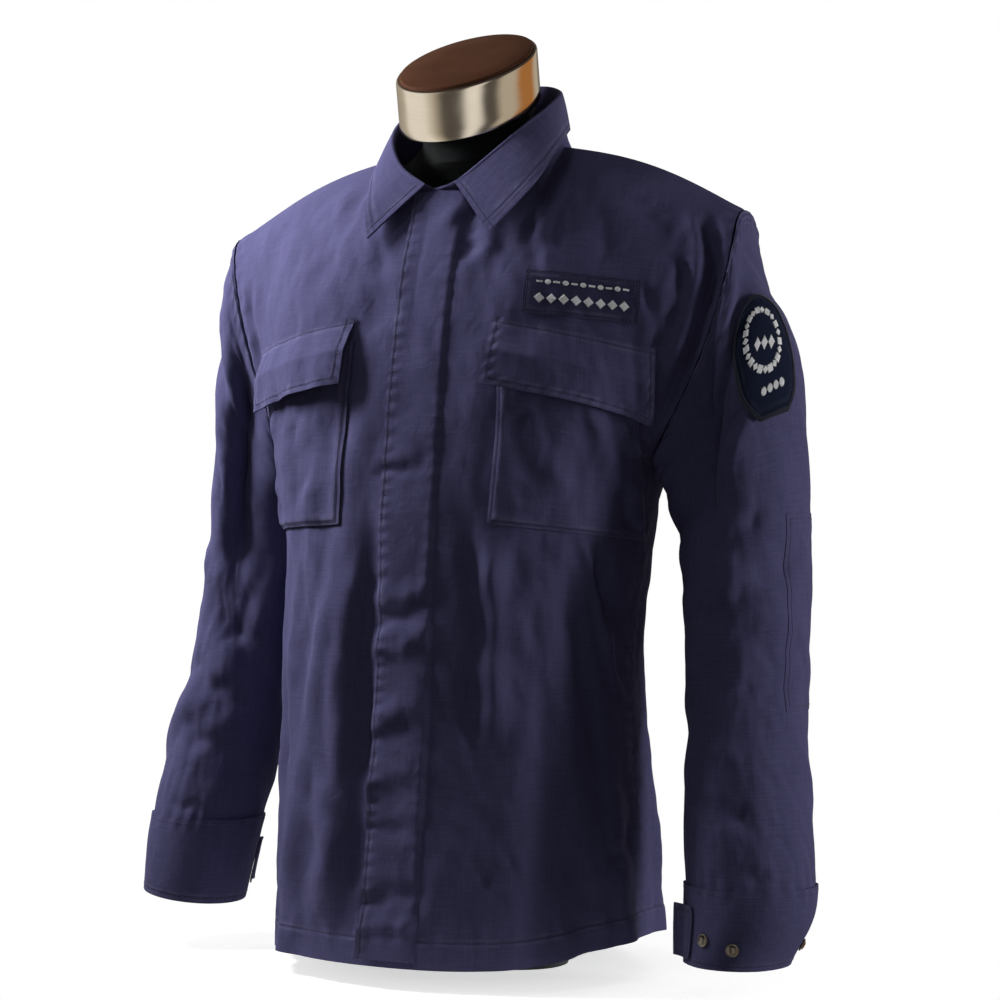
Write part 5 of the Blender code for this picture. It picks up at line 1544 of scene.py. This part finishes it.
def discUv(points):
    # along the axis and out from it
    local = (points - np.array(cap["base"])) @ capTurn
    return np.stack([local[:, 2], np.hypot(local[:, 0], local[:, 1])], axis=-1)


capRings = capPlace(spun(cap["profile"], cap["sides"]))
capPiece = ringSolid("neck_cap_body", capRings, steel, capUv, 0.9)
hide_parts("neck_cap")
discRings = capPlace(spun(cap["disc"], cap["sides"]))
discPiece = ringSolid("neck_cap_disc", discRings, brown, discUv, 0.9)
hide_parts("cap_disc")
print("form and cap made")

button = {
    "places": {
        1: ((108, 0.945), (76, 0.958), (342, 0.962)),
        -1: ((345, 0.960), (300, 0.962), (255, 0.960)),
    },
    "profile": (
        (0.0036, 0.0000), (0.0058, 0.0003), (0.0062, 0.0009), (0.0060, 0.0015), (0.0053, 0.0019), (0.0046, 0.0018),
        (0.0043, 0.0020), (0.0040, 0.0026), (0.0032, 0.0032), (0.0020, 0.0035), (0.0009, 0.0036),
    ),
    "sides": 32,
}
for side, word in sides:
    for number, (degrees, v) in enumerate(button["places"][side], 1):
        angle, near = math.radians(degrees), 0.01
        spot = sleeveSurface(
            np.array([angle, angle + near, angle]), np.array([v, v, v + near]), side, sleeve["cuffLift"]
        )
        way = unit(spot[2] - spot[0])
        normal = unit(np.cross(spot[1] - spot[0], spot[2] - spot[0])) * side
        axes = np.stack([way, np.cross(normal, way), normal])
        seat = spot[0] + normal * cloth["thick"] / 2
        rings = seat + spun(button["profile"], button["sides"]) @ axes
        made = ringSolid(f"snap_{word}_{number}", rings, snapMetal, lambda p: p[:, :2])
        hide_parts(f"cuff_button_{word}_{number}")
print("buttons made")


def seamRun(surface, p, q, hub, lift=sewing["rise"]):
    # a seam on a surface's outer face: points and normals by central differences, turned away from the hub
    p, q = spread(p, q)
    step = 1e-3
    alongP = surface(p + step, q) - surface(p - step, q)
    alongQ = surface(p, q + step) - surface(p, q - step)
    normals = unit(np.cross(alongP, alongQ))
    points = surface(p, q)
    normals = normals * np.sign((normals * (points - hub(points))).sum(-1, keepdims=True))
    return points + normals * lift, normals


def bodyHub(points):
    return points * np.array([0.0, 0.0, 1.0]) + np.array([0.0, 0.010, -0.030])


def sleeveHub(side):
    rings = sleeveRings[side]

    def hub(points):
        v = np.interp(-points[..., 2], -(rings["inZ"] + rings["outZ"]) / 2, rings["v"])
        middle = (spline(v, rings, "v", "inX") + spline(v, rings, "v", "outX")) / 2
        return np.stack([side * middle, spline(v, rings, "v", "midY"), points[..., 2]], axis=-1)

    return hub


def loopPath(places, closed=False):
    # points at even steps along straight stretches between the places
    places = np.array(places + places[:1] if closed else places, float)
    reach = reachAlong(places)
    return resampled(places, reach, np.linspace(0, reach[-1], 240)).T


def boxPath(half, inset):
    # once round a sheet at this distance from its edges
    x, z = half[0] - inset, half[1] - inset
    return loopPath(((-x, -z), (x, -z), (x, z), (-x, z)), True)


runs = []
for side, word in sides:
    for face in ("front", "back"):
        u = np.linspace(0.002, 0.998, 260)
        hem = body["hemTurn"] / cloth["bodyLong"] + 0 * u
        runs.append(seamRun(lambda u, v: panel(u, v, side, face), u, hem, bodyHub))
stitches("sewing_body", runs)

runs = []
z = np.linspace(fly["low"] + 0.002, fly["high"] - 0.002, 400)
for x in (fly["edge"] + stitchIn["fly"][0], fly["edge"] + fly["wide"] - stitchIn["fly"][1]):
    runs.append(seamRun(lambda x, z: flySurface(x, z, flyLift(x, z)), x + 0 * z, z, bodyHub))
stitches("sewing_fly", runs)

for name in ("pocket_right", "pocket_left", "flap_right", "flap_left", "name_tape"):
    wide, high = sheets[name][-2:]
    inset, topInset = stitchIn[name.split("_")[0]]
    surface = functools.partial(sheetSurface, name)
    i, j, top = inset / wide, inset / high, topInset / high
    runs = [seamRun(surface, *loopPath(((i, 0.02), (i, 1 - j), (1 - i, 1 - j), (1 - i, 0.02))), bodyHub)]
    if not name.startswith("pocket"):
        runs.append(seamRun(surface, *loopPath(((i, top), (1 - i, top))), bodyHub))
    stitches("sewing_" + name, runs)

runs = []
leafEdge = 2.0 - 0.9 * stitchIn["collar"] / 0.062  # the leaf is 62 mm deep at its point
for side, word in sides:
    a = np.linspace(0.035, 1.0, 200)
    s = np.linspace(1.16, leafEdge, 60)
    for a, s in ((a, leafEdge + 0 * a), (0.022 + 0.014 * (s - collar["rollTo"]), s)):
        runs.append(seamRun(lambda a, s: collarSurface(a, s, side), a, s, bodyHub, collar["thick"] / 2))
stitches("sewing_collar", runs)

for side, word in sides:
    hub = sleeveHub(side)
    angle = np.linspace(0, 2 * math.pi, 300)
    armholeLine = stitchIn["armhole"][1] / cloth["sleeveLong"]
    runs = [seamRun(lambda a, v: sleeveSurface(a, v, side), angle, armholeLine + 0 * angle, hub)]
    for v in (sleeve["cuffV"] + 0.002, 1 - stitchIn["cuff"] / cloth["sleeveLong"]):
        onCuff = lambda a, v: sleeveSurface(a, v, side, sleeve["cuffLift"])
        runs.append(seamRun(onCuff, angle, v + 0 * angle, hub))
    onElbow = lambda x, z: sleeveLocal(side, elbow["place"], x, z, elbow["lift"] - elbow["sewn"])
    runs.append(seamRun(onElbow, *boxPath(elbow["half"], stitchIn["elbow"]), hub))
    onTab = functools.partial(tabSurface, side)
    runs.append(seamRun(onTab, *boxPath(tab["half"], stitchIn["tab"]), hub))
    stitches("sewing_sleeve_" + word, runs)
print("sewing made")


def satin(name, surface, hub, marks, finish, rise=0.0010, spacing=0.00055, high=0.00034):
    # embroidery: each mark (x, z, length, width, turn in degrees, outline) is filled by threads laid side by side
    # across it, their length by the outline: even, falling straight to both ends, or a circle's chord
    centres, ways = [], []
    for x, z, long, wide, degrees, outline in marks:
        turn = math.radians(degrees)
        places = np.arange(-long / 2, long / 2 + 1e-6, spacing)
        share = np.abs(places) / max(long / 2, 1e-6)
        chord = np.sqrt(np.clip(1.1 - share**2, 0, 1))
        fill = {"block": 1.0 + 0 * share, "lozenge": 1.08 - share, "dot": chord}[outline]
        centres.append(np.stack([x + places * math.cos(turn), z + places * math.sin(turn)], axis=-1))
        ways.append(fill[:, None] * np.array([[-math.sin(turn) * wide / 2, math.cos(turn) * wide / 2]]))
    centres, ways = np.concatenate(centres), np.concatenate(ways)
    middle, normals = seamRun(surface, centres[:, 0], centres[:, 1], hub, rise)
    ends = [seamRun(surface, *(centres + ways * share).T, hub, rise)[0] for share in (-1.0, -0.7, 0.7, 1.0)]
    way = unit(ends[-1] - ends[0])
    across = np.cross(way, normals)
    turn = np.arange(5) * 2 * math.pi / 5
    girth = np.array([0.35, 1.0, 1.0, 0.35]) * high
    lift = np.array([-0.3, 0.55, 0.55, -0.3]) * high
    cosine, sine = np.cos(turn)[:, None], np.sin(turn)[:, None]
    ring = (cosine * across[:, None, :] + sine * normals[:, None, :])[:, None]
    points = np.stack(ends, axis=1)[:, :, None, :] + lift[None, :, None, None] * normals[:, None, None, :]
    points = points + ring * girth[None, :, None, None]
    return spindles(name, points, finish)


embroidery = {
    "ring": (0.0215, 0.0270, 0.0085),  # half width, half height, how far above the patch's middle
    "ringMarks": 22,
    "ringFrom": -180.0,
    "ringTo": 163.6,
    "mark": (0.0060, 0.0066),
}


def patchMarks():
    # a closed ring of small blocks, a slanting row of lozenges inside it and a row of dots at the foot
    halfX, halfZ, up = embroidery["ring"]
    turns = np.linspace(embroidery["ringFrom"], embroidery["ringTo"], embroidery["ringMarks"])
    rows = []
    for number, turn in enumerate(np.radians(turns)):
        x, z = halfX * math.sin(turn), up + halfZ * math.cos(turn)
        lean = -math.degrees(math.atan2(math.sin(turn) / halfX, math.cos(turn) / halfZ))
        long, wide = embroidery["mark"]
        rows.append((x, z, long, wide, lean, "lozenge" if number % 2 else "block"))
    for number in range(3):
        x = -0.0084 + number * 0.0084
        rows.append((x, 0.0040 + x * 0.42, 0.0078, 0.0120, 22, "lozenge"))
    for number in range(4):
        x = -0.0108 + number * 0.0072
        rows.append((x, -0.0325, 0.0056, 0.0064, 0, "dot"))
    return rows


def tapeMarks():
    # two rows of plain shapes: small dots and dashes above, taller lozenges and blocks in turn below
    rows = []
    for number in range(11):
        x = 0.0130 + number * 0.0076
        wide, outline = (0.0046, "dot") if number % 2 else (0.0020, "block")
        rows.append((x, -0.0105, 0.0050, wide, 0, outline))
    for number in range(8):
        x = 0.0140 + number * 0.0106
        rows.append((x, -0.0255, 0.0084, 0.0092, 0, "lozenge"))
    return rows


def tapeSurface(x, z):
    wide, high = sheets["name_tape"][-2:]
    return sheetSurface("name_tape", x / wide, -z / high)


leftHub = sleeveHub(1)
satin("embroidery_tape", tapeSurface, bodyHub, tapeMarks(), whiteThread)
satin("embroidery_patch", lambda x, z: patchSurface(x, -z), leftHub, patchMarks(), whiteThread)


def ropeBorder():
    # points and directions just inside the patch's edge, all the way round
    halfX, halfZ = patch["half"]
    along = np.concatenate([np.linspace(1, -1, 260), np.linspace(-1, 1, 260)])
    x, z = np.repeat([1.0, -1.0], 260) * shieldWidth(along) * halfX, along * halfZ
    top = np.linspace(-1, 1, 60) * shieldWidth(np.array([-1.0]))[0] * halfX
    foot = np.linspace(-1, 1, 160) * shieldWidth(np.array([1.0]))[0] * halfX
    loop = np.concatenate([
        np.stack([x[:260], z[:260]], -1), np.stack([top[::-1], 0 * top - halfZ], -1),
        np.stack([x[260:], z[260:]], -1), np.stack([foot, 0 * foot + halfZ], -1),
    ])
    reach = reachAlong(loop)
    keep = np.concatenate([[True], np.diff(reach) > 1e-7])
    x, z = resampled(loop[keep], reach[keep], np.arange(0, reach[-1], 0.0007)).T
    way = unit(np.stack([np.gradient(x), np.gradient(z)], axis=-1))
    return x - 0.0010 * -way[:, 1], z - 0.0010 * way[:, 0], way


def borderMarks():
    # thick thread laid across the edge
    x, z, way = ropeBorder()
    degrees = np.degrees(np.arctan2(way[:, 1], way[:, 0]))
    return [(a, b, 0.0, 0.0040, turn, "block") for a, b, turn in zip(x, z, degrees)]


satin("border_patch", patchSurface, leftHub, borderMarks(), borderThread, 0.0006, 0.0007, 0.00052)
print("embroidery made")

cut = {
    "shirt_front_right": (0.300, 0.760, 0.215),
    "shirt_front_left": (0.300, 0.760, 0.215),
    "shirt_back": (0.600, 0.790, 0.395),
    "shirt_sleeve_right": (0.450, 0.600, 0.200),
    "shirt_sleeve_left": (0.450, 0.600, 0.200),
    "shirt_cuff_right": (0.320, 0.088, None),
    "shirt_cuff_left": (0.320, 0.088, None),
    "shirt_fly": (0.060, 0.720, None),
    "shirt_pocket_right": (0.146, 0.176, None),
    "shirt_pocket_left": (0.148, 0.176, None),
    "shirt_flap_right": (0.152, 0.065, None),
    "shirt_flap_left": (0.158, 0.067, None),
    "shirt_name_tape": (0.102, 0.040, None),
    "shirt_collar": (0.480, 0.115, 0.046),
    "shirt_shoulder_patch": (0.074, 0.102, 0.0068),
    "shirt_elbow_right": (0.148, 0.176, None),
    "shirt_elbow_left": (0.148, 0.176, None),
    "shirt_cuff_tab_right": (0.032, 0.046, None),
    "shirt_cuff_tab_left": (0.032, 0.046, None),
}
# flat width, length and, where it isn't a rectangle, area of the cut of what shows
for name, (wide, long, area) in cut.items():
    held = "hung" if name.split("_")[1] in ("front", "back", "sleeve", "cuff") and "tab" not in name else "stretched"

photo = {
    "azimuth": 28.0,
    "distance": 2.5,
    "height": 0.45,
    "aside": 0.0275,
    "lens": 2537 * 36 / 1000,
}
turn = math.radians(photo["azimuth"])
cameraData = bpy.data.cameras.new("photoCamera")
cameraData.lens = photo["lens"]
cameraData.sensor_width = 36
cameraData.clip_start = 0.1
camera = bpy.data.objects.new("photoCamera", cameraData)
camera.location = (
    photo["aside"] * math.cos(turn) + photo["distance"] * math.sin(turn),
    photo["aside"] * math.sin(turn) - photo["distance"] * math.cos(turn),
    photo["height"],
)
camera.rotation_euler = (math.pi / 2, 0.0, turn)
bpy.context.collection.objects.link(camera)
bpy.context.scene.camera = camera

light = {
    # azimuth, elevation, distance, width, height, watts
    "key": (-71.0, 29.0, 1.14, 0.35, 0.5, 19.5),
    "top": (-24.0, 60.0, 1.7, 0.5, 0.4, 2.0),
    "front": (30.0, -6.0, 1.6, 0.8, 0.8, 1.05),
    "side": (101.0, -4.0, 2.4, 0.5, 1.0, 22.0),
    "back": (178.0, 30.0, 2.6, 1.6, 1.4, 14.0),
    "rim": (-110.0, 2.0, 1.8, 0.4, 1.0, 7.0),
    "spread": 150.0,
    "ambient": 0.05,
    "aim": (0.0, 0.0, 0.62),
}


def addLight(name, azimuth, elevation, distance, width, height, watts):
    # area light on a sphere round the object, turned to its middle
    data = bpy.data.lights.new(name, "AREA")
    data.shape = "RECTANGLE"
    data.size, data.size_y, data.energy = width, height, watts
    data.spread = math.radians(light["spread"])
    lamp = bpy.data.objects.new(name, data)
    a, e = math.radians(azimuth), math.radians(elevation)
    way = np.array([math.sin(a) * math.cos(e), -math.cos(a) * math.cos(e), math.sin(e)])
    lamp.location = np.array(light["aim"]) + way * distance
    lamp.rotation_euler = (math.pi / 2 - e, 0.0, a)
    lamp.visible_glossy = False  # the metal mirrors the room alone
    bpy.context.collection.objects.link(lamp)


for name in ("key", "top", "front", "side", "back", "rim"):
    addLight(name + "Light", *light[name])


def studioWorld():
    # white to the camera, a dim even fill to cloth, bright and dark bands round the compass to what is glossy
    world = bpy.data.worlds.new("studio")
    add, calc, ramp, mix, noise, bump = nodeSet(world)
    path = add("ShaderNodeLightPath")
    way = add("ShaderNodeSeparateXYZ", {0: add("ShaderNodeTexCoord").outputs["Generated"]})
    # 0 to 1 for azimuths -180 to 180
    compass = calc("ARCTAN2", way.outputs[0], calc("MULTIPLY", way.outputs[1], -1.0))
    compass = calc("ADD", calc("MULTIPLY", compass, 0.5 / math.pi), 0.5)
    pale, dim, amber = (1.0, 0.98, 0.94, 1.0), (0.10, 0.09, 0.08, 1.0), (0.46, 0.20, 0.06, 1.0)
    grey = (0.55, 0.50, 0.42, 1.0)
    stops = ((-180, dim), (-100, grey), (-88, pale), (-52, pale), (-34, grey), (-20, dim), (8, dim), (18, pale))
    stops += ((36, pale), (46, dim), (62, dim), (74, grey), (100, grey), (114, amber), (148, amber), (162, grey))
    banded = ramp(compass, tuple(((degrees + 180) / 360, shade) for degrees, shade in stops))
    overhead = calc("MULTIPLY", calc("SUBTRACT", way.outputs[2], 0.45), 4.0, True)
    banded = mix(overhead, banded, (0.05, 0.04, 0.04, 1.0))
    glossy = add("ShaderNodeBackground", {0: banded, 1: 0.95})
    even = add("ShaderNodeBackground", {0: (1.0, 1.0, 1.0, 1.0), 1: light["ambient"]})
    white = add("ShaderNodeBackground", {0: (1.0, 1.0, 1.0, 1.0), 1: 1.0})
    shade = even
    for ray, other in (("Is Glossy Ray", glossy), ("Is Camera Ray", white)):
        shade = add("ShaderNodeMixShader", {0: path.outputs[ray], 1: shade.outputs[0], 2: other.outputs[0]})
    add("ShaderNodeOutputWorld", {0: shade.outputs[0]})
    bpy.context.scene.world = world


studioWorld()

floorLook = {"radius": 3.0, "fadeFrom": 0.11, "fadeTo": 0.33}


def floorMaterial():
    # matt white that thins out to nothing with the distance from the middle
    material = bpy.data.materials.new("paleFloor")
    add, calc, ramp, mix, noise, bump = nodeSet(material)
    place = add("ShaderNodeTexCoord").outputs["Object"]
    away = add("ShaderNodeVectorMath", {0: place}, operation="LENGTH").outputs["Value"]
    fade = floorLook["fadeTo"] - floorLook["fadeFrom"]
    share = calc("DIVIDE", calc("SUBTRACT", away, floorLook["fadeFrom"]), fade, True)
    matt = add("ShaderNodeBsdfDiffuse", {0: (0.9, 0.9, 0.9, 1.0)})
    glow = add("ShaderNodeEmission", {0: (1.0, 1.0, 1.0, 1.0), 1: 0.62})
    floor = add("ShaderNodeAddShader", {0: matt.outputs[0], 1: glow.outputs[0]})
    clear = add("ShaderNodeBsdfTransparent")
    faded = add("ShaderNodeMixShader", {0: share, 1: floor.outputs[0], 2: clear.outputs[0]})
    add("ShaderNodeOutputMaterial", {0: faded.outputs[0]})
    return material


turn = np.arange(64) * 2 * math.pi / 64
rim = np.stack([floorLook["radius"] * np.cos(turn), floorLook["radius"] * np.sin(turn), 0 * turn], axis=-1)
floorMesh = bpy.data.meshes.new("floor")
floorMesh.from_pydata(rim.tolist(), [], [list(range(64))])
floorMesh.materials.append(floorMaterial())
floor = bpy.data.objects.new("floor", floorMesh)
bpy.context.collection.objects.link(floor)
floor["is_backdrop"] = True
bpy.context.scene.view_settings.view_transform = "Standard"
print("stage ready")

boxes = {"cad": cadBox, "visual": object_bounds()}
{name: [[float(value) for value in corner] for corner in corners] for name, corners in boxes.items()}
